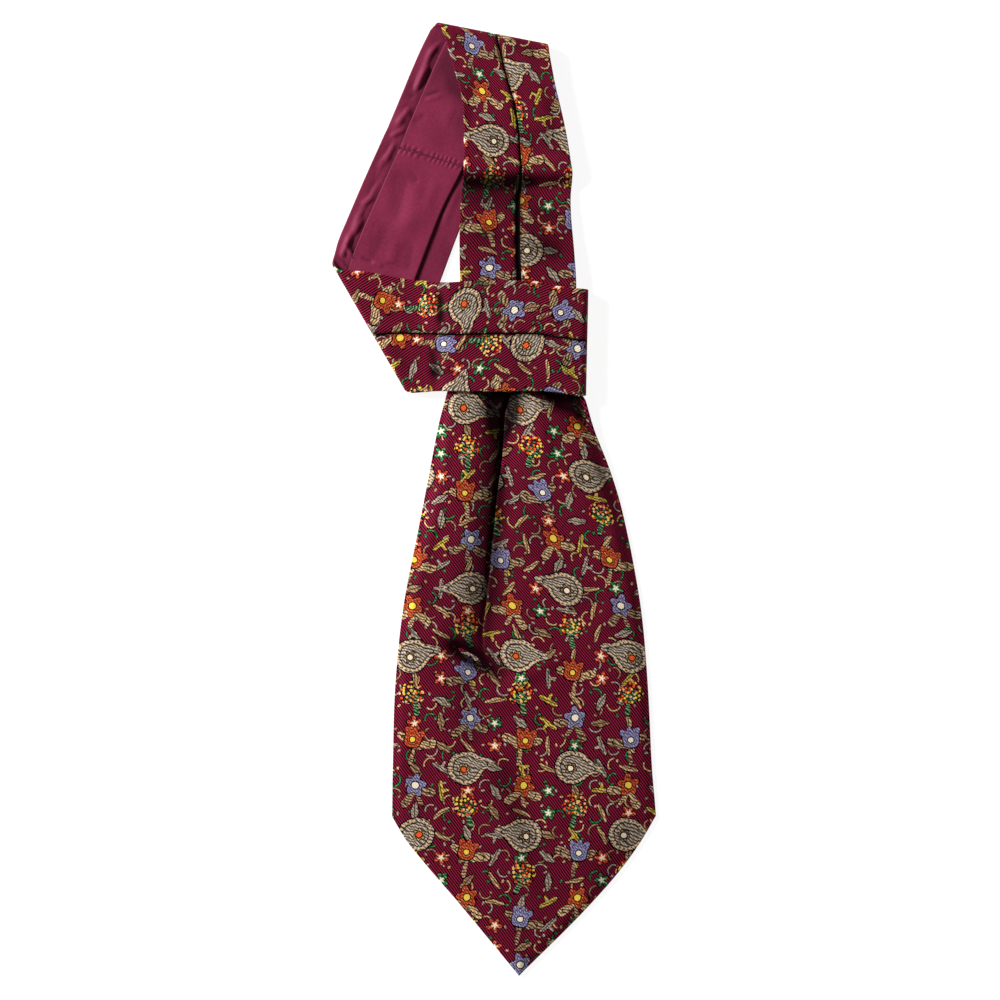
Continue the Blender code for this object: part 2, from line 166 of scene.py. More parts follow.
# Hidden behind the knot, silk side down, to the slanting edge where it turns into the second blade
WRAP = table(STRETCH, """
    50.1 120.8 2 48.9 60.4 2 0.5 0.5 0.2 0.8 2
    44.8 121 2 20.5 60.7 2 0.5 0.5 0.2 0.8 2
    40.8 122 2 -2.7 61.3 2 0.5 0.5 0.2 0.8 2
    37.9 122.8 2 -21 61.9 2 0.5 0.5 0.2 0.8 0
""")

# Front blade: side edges, how far the middle of a cross line hangs below its ends, height on the crown and
# along the rim, width of the rim's roll, and the number of steps to the next row
BLADE = table("y left right dip crown rim roll steps", """
    91.1 -21.9 46.6 0 6.8 6.8 6 2
    75 -24.3 47.8 0 6.9 6.4 6 2
    61.5 -27.7 48.9 0 7.5 6.1 6 1
    57 -28.9 52.2 0.5 7.9 5.7 7 3
    42 -32.9 57 3 8.5 4 8 5
    12 -38.7 68.6 12 7.8 2.2 9 4
    -18 -44.5 76.7 22 6.6 1.7 9 5
    -63 -53.2 84.9 38 5.2 1.6 7 4
    -108 -57.8 88.9 57 4.2 1.6 6 4
    -154 -59.2 91.2 78 3.7 1.6 6 2
    -176 -59.5 93 89 3.6 1.6 6 2
    -184 -59.6 93.6 92.7 3.6 1.6 6 0
""")

# The two slanting sides of the tip: height above the point at shares of the half width
TIP_SIDES = table("share left_rise right_rise", """
    0 0 0, 0.5 44.4 39.7, 0.75 65.9 62.5, 0.9 79.9 79.3, 1 92.5 93
""")

# Pleat that opens below the knot: where its valley runs, its depth, how wide the left half rolls down into it and
# the right half rises out of it, how far the right half's edge laps over it, how far the painted shade reaches on to
# that half, and the cloth hidden in it
VALLEY = table("y x depth left_width right_width lap shade hidden", """
    75 9.5 0 9 8 0 9 30
    60.1 8.9 3.6 11 8 1.2 9 30
    48.5 6.4 4.8 12 9 2 6 29
    22.4 4.6 4.8 11.5 10 2.2 1 25
    5 2 4.1 12 11 2 5 20
    -24 -1 3.4 13 12 1.7 6 13
    -58.8 -4.6 2.6 16 12 1.2 8.5 6
    -80 -7 1.8 18 12 0.5 6 2
    -100 -4 0 18 10 0 5 0
    -170 7.5 0 10 10 0 5 0
    -276.7 14.1 0 5 10 0 5 0
""")
VALLEY_STEEP = 2.2
VALLEY_STEEP_SHARE = 0.5
LAP_SHARE = 0.66
LAP_EDGE = 0.8
LAP_REACH = 2.2

# Share of the blade's crown that is one broad dome between valley and rim, and the half width of that dome
DOME_SHARE = 0.45
DOME_REACH = 46.0

# Room between the rim and the blade's creases, and what counts as no distance
RIM_CLEAR = 5.0
SAME_POINT = 1e-12

# Creases fade over a share of their length at both ends
CREASE_FADE = 1 / 3


def crease_table(numbers):
    """Troughs, or ridges where the depth is under zero, between two pixels of the photograph, in millimetres."""
    return table("from_px from_py to_px to_py depth half_width", numbers)


# Every trough below, but those of the hidden second blade, also darkens its cloth with painted shade, in full at
# BLADE_SHADE or BAND_SHADE deep. On the front blade they are real troughs too, and those just under the knot stand
# for the shadow that the knot casts. On the satin behind, which sinks no more than SEWN_SINK, the deep troughs are
# mostly painted shade, such as the painted shadow of the neck stretch along the underlay near the loop.
BLADE_CREASES = crease_table("""
    536 366 608 440 2.4 8, 552 376 612 416 2.6 7, 526 374 576 414 1.8 6.5, 488 372 508 446 2.2 7.5,
    508 372 516 436 1.6 4, 430 634 520 686 2.3 5.4, 446 640 492 664 1 4, 494 694 574 650 -1.2 4.8,
    464 650 474 764 0.9 8, 500 744 534 862 1 8, 526 836 552 912 0.6 7, 656 792 588 908 0.8 8, 640 560 654 740 0.4 9,
    430 400 462 420 -0.5 6, 534 390 548 470 -0.8 4.6, 590 430 616 530 0.7 7, 436 520 424 626 0.45 7,
    600 560 618 720 -0.4 9, 440 700 452 820 -0.4 9, 564 700 552 850 -0.45 8, 480 850 506 940 -0.35 8,
    402 760 446 780 0.35 5, 612 800 650 770 0.4 5, 530 500 566 600 0.45 9, 568 610 610 590 0.35 8
""")
NECK_CREASES = crease_table("""
    472 70 468 140 0.35 4, 505 60 508 150 -0.3 4.5, 545 80 556 150 0.35 4, 440 166 600 162 -0.4 2.8,
    430 184 548 183 1.2 5.6, 500 183 606 180 0.7 4, 430 200 560 204 0.5 6, 430 240 610 240 0.35 20,
    450 142 590 138 0.3 8, 528 212 566 218 0.3 3.4, 470 230 505 244 0.3 5, 535 238 566 262 0.35 5,
    530 205 560 275 0.2 9, 450 44 486 52 0.3 3, 500 36 548 62 0.3 4
""")
CROSS_CREASES = crease_table("""
    440 286 442 334 1.1 2.6, 432 342 438 390 0.9 2.8, 424 373 464 371 0.5 2, 372 292 402 322 0.3 4,
    478 292 484 326 0.25 5, 520 345 528 386 0.3 4, 552 294 560 332 -0.3 4, 486 350 480 384 -0.25 5,
    392 340 414 378 0.3 4, 562 350 574 386 0.3 4
""")
SIDE_STRIP_CREASES = crease_table("""
    446 36 428 58 -1.3 1.5, 440 62 420 74 -1.1 1.4, 428 66 412 96 -1.4 1.6, 420 96 400 106 -1 1.3,
    412 104 396 128 -1.2 1.4, 436 50 430 70 0.9 1.6, 408 128 388 138 -0.9 1.3, 396 140 384 166 -1.1 1.4,
    376 196 360 206 -0.9 1.3, 366 214 352 238 -1.2 1.3, 450 26 434 84 2 5, 404 116 350 256 0.2 7,
    444 50 402 124 1.2 3, 436 40 414 100 -1.2 1.9, 418 76 404 112 0.9 2.4, 424 84 400 132 -0.68 1.8,
    406 104 386 150 -0.68 2.7, 398 122 377 168 0.8 2.4, 390 144 372 186 -0.85 1.8, 383 158 365 202 0.9 2.6,
    380 178 358 222 -1 1.8, 374 188 357 234 0.8 2.3, 364 206 346 250 -1.2 1.8, 359 222 345 256 0.8 1.9,
    352 232 340 262 -1.4 1.4, 344 242 360 270 -1.7 1.3, 350 242 364 264 1.1 1.3, 338 254 352 274 1.1 1.3,
    366 238 361 272 0.9 1.5, 404 108 414 126 -0.68 1.4, 462 180 440 232 -0.51 2.4, 446 236 452 262 0.5 2.4
""")
WRAP_CREASES = crease_table("""
    540 300 556 388 -0.5 5, 500 320 520 384 -0.4 4, 562 330 572 380 0.5 3.4, 476 350 508 376 -0.3 5
""")
UNDER_CREASES = crease_table("""
    470 400 508 520 -0.4 8, 540 396 566 470 0.5 6, 452 560 470 700 0.4 9, 600 600 580 760 -0.35 9,
    520 640 548 740 0.5 7, 490 780 514 880 -0.3 8, 610 790 560 880 0.3 6
""")
UNDERLAY_CREASES = crease_table("""
    450 36 460 110 1.5 8, 462 60 462 160 0.5 5, 444 56 428 96 0.5 3.4, 456 84 448 130 -0.4 4, 422 97 442 90 0.9 1.3,
    424 101 444 95 -0.5 1.4, 446 98 458 134 0.3 3.2, 412 124 428 114 0.4 2, 402 160 396 236 0.4 5,
    420 176 404 240 -0.5 5.4, 384 214 372 268 0.4 3.4, 398 236 388 272 -0.5 3.2, 412 236 404 274 0.45 3.4,
    438 176 424 214 -0.4 3.4, 410 170 418 186 0.4 1.8, 384 263 404 267 0.5 1.2, 360 257 374 263 0.6 1,
    372 262 384 267 -0.5 1
""")

# Slow unevenness that any laid cloth has: wavelength across and along in millimetres, phase, height
WAVES = table("across along phase height", """
    41 67 0.4 0.1, -29 38 1.9 0.08, 17 53 3.1 0.05, 23 -19 5.2 0.04
""")

# The most that cloth sinks into what it is sewn to, and the depths of a trough that takes full painted shade
SEWN_SINK = 0.25
BLADE_SHADE = 2.5
BAND_SHADE = 1.1
VALLEY_SHADE = 3.9
# Half width of the painted shade beside the slit
SLIT_SHADE_WIDTH = 0.9

# Painted shade on the side strips behind, more of it beside the pleat's underlay, and on that underlay's own edges
STRIP_SHADE = 0.22
EDGE_SHADE_WIDTH = 1.8
UNDERLAY_EDGE_SHADE = 0.9
UNDERLAY_EDGE_WIDTH = 0.9

# How much of the colour full painted shade takes, on the silk and on the satin, which throws more light about
SILK_SHADE = 0.93
SATIN_SHADE = 0.5

# Ends of the hand-tacked seam in the photograph, its groove, and the puckers that its stitches pull
TACK_FROM = (397.5, 147.5)
TACK_TO = (463.7, 167.0)
TACK_STITCHES = 13
TACK_GROOVE = 0.9
TACK_HALF_WIDTH = 0.9
PUCKER_HEIGHT = 0.45
PUCKER_REACH = 2.2
PUCKER_UNEVEN = 0.6
PUCKER_STRAY = 2.6
PUCKER_LEAN = 0.5
STITCH_RADIUS = 0.22
STITCH_LENGTH = 2.2
STITCH_SLANT = 0.7
STITCH_TURN = 0.25
STITCH_STRAY = 0.16

# How far groove and puckers run on past the seam's ends, and over what share of its length they fade there
TACK_PAST = 0.04
TACK_FADE = 0.06

# How far a panel's edge turns down into the slit, and over what width
SLIT_TURN = 0.45
SLIT_TURN_WIDTH = 1.5

# Camera straight above, lit table and lights, in metres and watts
CAMERA_LENS = 135.0
CAMERA_SENSOR = 36.0
CAMERA_CENTRE = (0.0034, -0.00025)
FRAME_WIDTH = 0.58
FLOOR_RADIUS = 5.0
FLOOR_SWEEP = 1.5
FLOOR_SIDES = 96
FLOOR_RINGS = 12
FLOOR_DROP = -0.0002
FLOOR_COLOUR = (0.3, 0.3, 0.3, 1.0)
FLOOR_ROUGHNESS = 0.9
FLOOR_GLOW = 0.89
WORLD_LIGHT = 0.14
KEY_PLACE = (-1.25, 0.65, 0.72)
KEY_SIZE = (0.5, 0.4)
KEY_POWER = 41.0

# sRGB colours of the cloth, its print and its threads, and of the painted shade
COLOURS = {
    "ground": (12, 0, 4),
    "rib": (148, 31, 62),
    # depth is the near-black of the painted shade in folds, creases and slits
    "depth": (4, 0, 2),
    "outline": (5, 0, 2),
    "ink": (44, 28, 22),
    "taupe": (200, 178, 158),
    "tan": (244, 194, 134),
    "brown": (186, 140, 98),
    "cream": (252, 238, 208),
    "lavender": (178, 170, 226),
    "orange": (248, 94, 44),
    "yellow": (248, 210, 78),
    "green": (38, 140, 74),
    "lining": (144, 48, 80),
    "lining_deep": (106, 26, 52),
    "thread": (92, 20, 46),
}

# The print: pitch of each repeat, how far every second column drops, as a share of the pitch, and how far the
# motifs turn, in radians. Then what makes the chance of each cell from its column and row, what makes its turn and
# its second chance from that one, and how far the kinds move on from one column to the next.
MAIN_PITCH = (31.0, 26.0)
FILL_PITCH = (15.5, 13.0)
TENDRIL_PITCH = (10.6, 8.8)
MAIN_DROP = 0.5
TENDRIL_DROP = 0.4
MAIN_TURN = 0.7
FILL_TURN = 6.0
COLUMN_CHANCE = 0.387
ROW_CHANCE = 0.619
TURN_CHANCE = 7.0
SECOND_CHANCE = 3.0
COLUMN_STEP = 2.0

# Growth of the fillers, width of the drawn outline, the hand's unevenness and its size, largest radius of a curve
FILLER_GROWTH = 1.5
OUTLINE = 0.65
UNEVEN = 1.1
UNEVEN_SIZE = 5.0
RADIUS_SCALE = 18.0

# Room kept at both ends of each outline where several share one curve, so that none runs into the next
SLOT_MARGIN = 0.03
SLOT_EDGE = 0.004

# The twill: width of a rib, the direction across the ribs in the cloth's own coordinates, how far they wander,
# how crisp and broad their light side is, and how dark their gaps are in the print
RIB = 1.33
RIB_ACROSS = 0.81
RIB_ALONG = 0.586
RIB_WANDER = 0.35
RIB_WANDER_SIZE = 9.0
RIB_CRISP = 1.8
RIB_BROAD = 0.42
RIB_GAP = 0.55

# Outlines of the four main motifs and their blooms, and of the fillers, round the middle
OUTLINE_COLUMNS = "degrees radius"
PAISLEY = table(OUTLINE_COLUMNS, """
    -180 11.6, -150 11.2, -120 10.4, -90 9.6, -60 8.6, -30 8.4, -8 9.6, 4 12.4, 11 16.4, 19 15, 32 11.4, 60 9.4,
    90 9.4, 125 10.4, 155 11.4, 180 11.6
""")
LOW_LEAVES = table(OUTLINE_COLUMNS, """
    -180 3.4, -162 10.8, -148 12, -130 5, -104 2.6, -92 10.4, -84 10.4, -70 2.6, -50 5.4, -30 12.4, -16 10.4, 0 3.6,
    60 3, 120 3, 180 3.4
""")
HIGH_LEAVES = table(OUTLINE_COLUMNS, """
    -180 5.4, -150 3.4, -104 2, -93 11.6, -84 11.6, -72 2, -30 3.6, 0 5.8, 22 12.8, 36 9.4, 60 3.4, 90 2.6, 122 3.4,
    146 9.8, 160 12.4, 180 5.4
""")
SPRIG = table(OUTLINE_COLUMNS, """
    -180 2.6, -120 2, -96 8.6, -84 8.6, -60 2, 0 2.8, 24 6.6, 40 3.2, 62 7.8, 76 3.4, 92 8.6, 106 3.4, 122 7.4,
    140 3, 156 6.4, 180 2.6
""")
ROSETTE = table(OUTLINE_COLUMNS, """
    -180 3.4, -150 2.2, -120 3.5, -90 2.2, -60 3.4, -30 2.2, 0 3.5, 30 2.2, 60 3.4, 90 2.2, 120 3.5, 150 2.2,
    180 3.4
""")
BLOSSOM = table(OUTLINE_COLUMNS, """
    -180 5.2, -162 6.2, -126 3.8, -90 6.6, -54 3.8, -18 6.4, 18 3.9, 54 6.8, 90 3.9, 126 6.4, 162 3.8, 180 5.2
""")
TULIP = table(OUTLINE_COLUMNS, """
    -180 4.6, -135 5, -90 4.4, -45 5, 0 4.6, 30 5.6, 54 8.4, 70 5.4, 90 7.8, 110 5.4, 126 8.4, 150 5.6, 180 4.6
""")
CROWN = table(OUTLINE_COLUMNS, """
    -180 7, -120 4.4, -90 3.6, -60 4.4, 0 7.2, 45 8.4, 90 8.8, 135 8.2, 180 7
""")
CRESCENT = table(OUTLINE_COLUMNS, """
    -180 3.9, -166 2.6, -140 1.5, -90 1.1, -40 1.5, -14 2.6, 0 3.9, 14 1.9, 40 0.8, 90 0.5, 140 0.8, 166 1.9,
    180 3.9
""")
TWIN_LEAF = table(OUTLINE_COLUMNS, """
    -180 4, -162 2, -120 0.9, -60 0.9, -18 2, 0 4, 18 2.2, 50 1.2, 76 2, 90 3.2, 104 2, 130 1.2, 162 2.2, 180 4
""")
BUD = table(OUTLINE_COLUMNS, """
    -180 3, -160 1.9, -120 1.3, -60 1.6, -20 2.4, 0 4.2, 20 2.3, 60 1.6, 120 1.3, 160 1.9, 180 3
""")
STARLET = table(OUTLINE_COLUMNS, """
    -180 2.9, -144 1.2, -108 2.9, -72 1.2, -36 2.9, 0 1.2, 36 2.9, 72 1.2, 108 2.9, 144 1.2, 180 2.9
""")

LEAF_SHAPES = (PAISLEY, LOW_LEAVES, HIGH_LEAVES, SPRIG)
BLOOM_SHAPES = (ROSETTE, BLOSSOM, TULIP, CROWN)
FILL_SHAPES = (CRESCENT, TWIN_LEAF, BUD, STARLET)

# Four kinds each, numbered from 0. Only the first is under FIRST_KIND: the paisley. Only the last is over LAST_KIND:
# the sprig with its crown of berries, and the starlet.
KINDS = 4
FIRST_KIND = 0.5
LAST_KIND = 2.5

# Half width and lean of a filler's vein, and the share of a starlet that is its heart
VEIN = 0.24
VEIN_LEAN = 0.12
STARLET_HEART = 0.45

# Colours of each kind, and then of each kind once more in its other colouring
LEAF_COLOURS = ("taupe", "tan", "brown", "green", "taupe", "brown", "tan", "green")
BLOOM_COLOURS = ("brown", "orange", "lavender", "yellow", "tan", "lavender", "orange", "yellow")
CORE_COLOURS = ("cream", "yellow", "cream", "orange", "orange", "cream", "yellow", "orange")
FILL_COLOURS = ("tan", "taupe", "brown", "green", "tan", "yellow", "taupe", "orange")
TENDRIL_COLOURS = ("brown", "green", "tan", "taupe")
BERRY_COLOURS = ("yellow", "orange", "tan")

# Where each kind's bloom lies from its leaves' middle, across and along, with its tilt in degrees, and its core's
# radius. Colour stops hold these numbers, so they are shares of a span.
BLOOM_PLACES = ((-2.6, -0.4, 8), (1.0, 3.0, -14), (-1.2, 3.4, 12), (0.4, 2.6, -6))
BLOOM_SPAN = 20.0
CORE_RADIUS = (1.5, 1.9, 1.5, 0.0)
CORE_SPAN = 10.0

# Wavy pen lines drawn inside the motifs: pitch, lean, how far they wander, where ink and light begin on the wave,
# how crisp both are, and how strong the light is
PEN_PITCH = 1.9
PEN_LEAN = 0.4
PEN_WANDER = 2.0
PEN_WANDER_SIZE = 6.0
PEN_INK = 0.05
PEN_INK_CRISP = 1.6
PEN_LIGHT = 0.5
PEN_LIGHT_CRISP = 2.0
PEN_LIGHTENS = 0.6

# How strongly the pen shows in each kind of motif
TENDRIL_INKED = 0.3
FILL_INKED = 0.5
LEAF_INKED = 0.9
BLOOM_INKED = 0.35

# Tendrils: radius and how much more by chance, the arc in shares of a turn, the least chance that draws one, and
# half widths without and with outline. Then the small leaf at their tip: place, slimness and radii.
TENDRIL_RADIUS = 2.6
TENDRIL_VARIES = 1.4
TENDRIL_ARC = (0.12, 0.52)
TENDRIL_CHANCE = 0.35
TENDRIL_WIDTHS = (0.42, 0.8)
TENDRIL_LEAF = (2.0, 2.2)
TENDRIL_LEAF_SLIM = 3.0
TENDRIL_LEAF_RADII = (1.1, 1.5)

# Dark rings inside leaves and blooms, in shares of the radius, beads along a paisley's edge, strokes round a
# bloom, and the crown's berries, whose two radii are without and with outline
LEAF_RING = (0.7, 0.76)
LEAF_RING_DARK = 0.9
BLOOM_RING = (0.62, 0.7)
BLOOM_DARK = 0.8
BEADS = 22.0
BEAD_RING = 0.87
BEAD_RADIUS = 0.62
STROKES = 26.0
STROKE_THIN = 0.2
STROKE_GAP = 0.8
BERRY_PITCH = 2.2
BERRY_RADII = (0.72, 1.05)

# Satin: size and strength of its slow and fine changes of tone, and the tone that they start from. Then the width
# of its threads, how far the slow change bends them, and their strength in the tone and in the relief.
SATIN_SLOW_SIZE = 26.0
SATIN_SLOW = 0.7
SATIN_FINE_SIZE = 1.6
SATIN_FINE = 0.6
SATIN_BASE = 0.2
SATIN_THREAD = 0.9
SATIN_THREAD_BEND = 3.0
SATIN_THREAD_TONE = 0.08
SATIN_THREAD_RELIEF = 0.3

# The stitches' thread: lean and number of its twists, and how strongly its tone follows them
TWIST_LEAN = 2.0
TWIST_TURNS = 9.0
TWIST_TONE = 0.4

# Roughness of the sheen on every cloth
SHEEN_ROUGHNESS = 0.4


def smooth(at, known, values):
    """Reads a smooth curve through the known values, which turns nowhere but at them."""
    if known[0] > known[-1]:
        known, values = known[::-1], values[::-1]
    step = np.diff(known)
    slope = np.diff(values) / step
    tangent = np.concatenate([slope[:1], (slope[1:] + slope[:-1]) / 2, slope[-1:]])
    least = np.minimum(abs(slope[1:]), abs(slope[:-1]))
    limit = np.where(slope[1:] * slope[:-1] > 0, 3 * least, 0)
    tangent[1:-1] = np.clip(tangent[1:-1], -limit, limit)
    at = np.clip(at, known[0], known[-1])
    index = np.clip(np.searchsorted(known, at) - 1, 0, len(step) - 1)
    t = (at - known[index]) / step[index]
    rise = values[index] * (1 + 2 * t) * (1 - t) ** 2 + values[index + 1] * t * t * (3 - 2 * t)
    lean = tangent[index] * t * (1 - t) ** 2 - tangent[index + 1] * t * t * (1 - t)
    return rise + lean * step[index]


def read(rows, name, y):
    """A column of a table as a smooth curve over its y."""
    return smooth(y, rows["y"], rows[name])


def ramp(t):
    t = np.clip(t, 0, 1)
    return t * t * (3 - 2 * t)


def bell(t):
    return np.exp(-(t**2))


def unit(vectors):
    return vectors / np.linalg.norm(vectors, axis=-1, keepdims=True)


def run_lengths(points):
    """Length along each row of a grid of points."""
    steps = np.linalg.norm(np.diff(points, axis=1), axis=-1)
    return np.concatenate([np.zeros((len(points), 1)), np.cumsum(steps, axis=1)], axis=1)


def from_photo(px, py):
    """A pixel of the photograph in the tables' own numbers."""
    return np.array([(px - PHOTO_X) * PIXEL, (PHOTO_Y - py) * PIXEL])


def stations(rows, finer):
    """Every column of a table read at its rows and at finer steps between them."""
    ends = np.arange(len(rows["steps"]), dtype=float)
    counts = (rows["steps"] * finer).astype(int)
    at = np.concatenate([row + np.arange(count) / count for row, count in enumerate(counts) if count] + [ends[-1:]])
    return {name: smooth(at, ends, column) for name, column in rows.items() if name != "steps"}


def half_turn(before, after):
    """The stations round a fold, between the last one of a stretch and the first one of the next."""
    start = {name: column[-1] for name, column in before.items()}
    end = {name: column[0] for name, column in after.items()}
    across = np.array([start["right_x"] - start["left_x"], start["right_y"] - start["left_y"]])
    outward = np.array([-across[1], across[0]]) / np.hypot(*across)
    heading = [sum(before[side + axis][-1] - before[side + axis][-2] for side in SIDES) for axis in ("_x", "_y")]
    if outward @ heading < 0:
        outward = -outward
    share = np.arange(1, FOLD_LINES) / FOLD_LINES
    turned = {name: start[name] * (1 - share) + end[name] * share for name in end}
    for side in SIDES:
        radius = (start[side + "_z"] - end[side + "_z"]) / 2
        reach = abs(radius) * np.sin(math.pi * share)
        turned[side + "_x"] += outward[0] * reach
        turned[side + "_y"] += outward[1] * reach
        turned[side + "_z"] = (start[side + "_z"] + end[side + "_z"]) / 2 + radius * np.cos(math.pi * share)
    return turned


def chain(*stretches):
    """One strip from stretches with a half turn between each two, and the station where each one starts."""
    runs = [stretches[0]]
    starts = [0]
    for before, after in zip(stretches, stretches[1:]):
        starts.append(sum(len(run["slit"]) for run in runs) + FOLD_LINES - 1)
        runs += [half_turn(before, after), after]
    return {name: np.concatenate([run[name] for run in runs]) for name in stretches[0]}, starts


class Band:
    """The neckband's silk side as a strip ruled between its two edges."""

    def __init__(self, strip):
        self.strip = strip
        self.left, self.right = (np.array([strip[side + axis] for axis in ("_x", "_y", "_z")]).T for side in SIDES)
        self.station = np.arange(len(self.left))
        self.width = np.linalg.norm(self.right - self.left, axis=1)
        # Length along both edges, which is where the cloth's own grain puts each station
        self.run_left, self.run_right = run_lengths(np.stack([self.left, self.right]))

    def at(self, values, line):
        """A column, or an edge's points, read between stations."""
        if values.ndim == 1:
            return np.interp(line, self.station, values)
        return np.stack([np.interp(line, self.station, column) for column in values.T], axis=-1)

    def panel_ends(self, line, side):
        """The shares of the width where a panel begins and ends, on the slit's left (-1) or right (1)."""
        opened = self.at(self.strip["open"], line) / self.at(self.width, line)
        slit = self.at(self.strip["slit"], line) + side * opened / 2
        return (np.zeros(len(line)), slit) if side < 0 else (slit, np.ones(len(line)))

    def points(self, shares, line, depth):
        """Points at a grid of shares, this far under the silk side, with the normals there."""
        left, right = self.at(self.left, line)[:, None], self.at(self.right, line)[:, None]
        share = shares[..., None]
        middle = left * (1 - share) + right * share
        before, after = np.maximum(line - 1, 0), np.minimum(line + 1, self.station[-1])
        along = (self.at(self.left, after) - self.at(self.left, before))[:, None] * (1 - share)
        along = along + (self.at(self.right, after) - self.at(self.right, before))[:, None] * share
        normal = unit(np.cross(np.broadcast_to(right - left, along.shape), along))
        return middle - normal * depth, normal

    def fabric(self, shares, line, hidden=0.0):
        """The cloth's own coordinates at a grid of shares: across the band and along it."""
        run_left, run_right = self.at(self.run_left, line)[:, None], self.at(self.run_right, line)[:, None]
        run = run_left * (1 - shares) + run_right * shares
        return np.stack([shares * BAND_WIDTH + hidden, run, np.zeros(run.shape)], axis=-1)


def shares_between(start, stop, columns):
    """Even shares of the width between a start and a stop on each line, as a grid."""
    even = np.linspace(0, 1, columns + 1)
    return start[:, None] * (1 - even) + stop[:, None] * even


def beside_line(points, from_px, from_py, to_px, to_py):
    """How far each point lies along a line between two pixels, as a share of it, and how far beside it."""
    start = from_photo(from_px, from_py)
    run = from_photo(to_px, to_py) - start
    offset = points[..., :2] - start
    beside = (offset[..., 0] * run[1] - offset[..., 1] * run[0]) / np.hypot(*run)
    return (offset @ run) / (run @ run), beside


def crease_relief(points, creases):
    """How far the creases lift or sink each point, by its place in plan."""
    height = np.zeros(points.shape[:-1])
    for *ends, depth, width in zip(*creases.values()):
        along, beside = beside_line(points, *ends)
        height -= depth * ramp(along / CREASE_FADE) * ramp((1 - along) / CREASE_FADE) * bell(beside / width)
    return height


def wave_relief(points):
    """The slow unevenness at each point."""
    height = np.zeros(points.shape[:-1])
    for across, along, phase, size in zip(*WAVES.values()):
        height += size * np.sin(TURN * (points[..., 0] / across + points[..., 1] / along) + phase)
    return height


def tack_relief(points):
    """The tacked seam's groove, with the puckers that its stitches pull on both sides, as uneven as hand sewing."""
    along, beside = beside_line(points, *TACK_FROM, *TACK_TO)
    inside = ramp((along + TACK_PAST) / TACK_FADE) * ramp((1 + TACK_PAST - along) / TACK_FADE)
    uneven = 1 + PUCKER_UNEVEN * np.sin(along * 17.0 + 0.8) * np.sin(along * 7.0 + 2.0)
    pucker = np.sin(TURN * along * TACK_STITCHES + PUCKER_STRAY * np.sin(along * 9.0) + beside * PUCKER_LEAN) * uneven
    height = -TACK_GROOVE * bell(beside / TACK_HALF_WIDTH)
    height = height + PUCKER_HEIGHT * pucker * bell(beside / PUCKER_REACH)
    return height * inside


def drawn_in(grids, lengths, start, stop):
    """Grids read again along their second axis, a little inside both of its ends."""
    pulled = [np.empty_like(grid) for grid in grids]
    for row, run in enumerate(lengths):
        at = start + (run[-1] - start - stop) * run / run[-1]
        for grid, new in zip(grids, pulled):
            for axis in range(grid.shape[-1]):
                new[row, :, axis] = np.interp(at, run, grid[row, :, axis])
    return pulled


def linked(name, data):
    """A new object in the scene."""
    made = bpy.data.objects.new(name, data)
    bpy.context.scene.collection.objects.link(made)
    return made


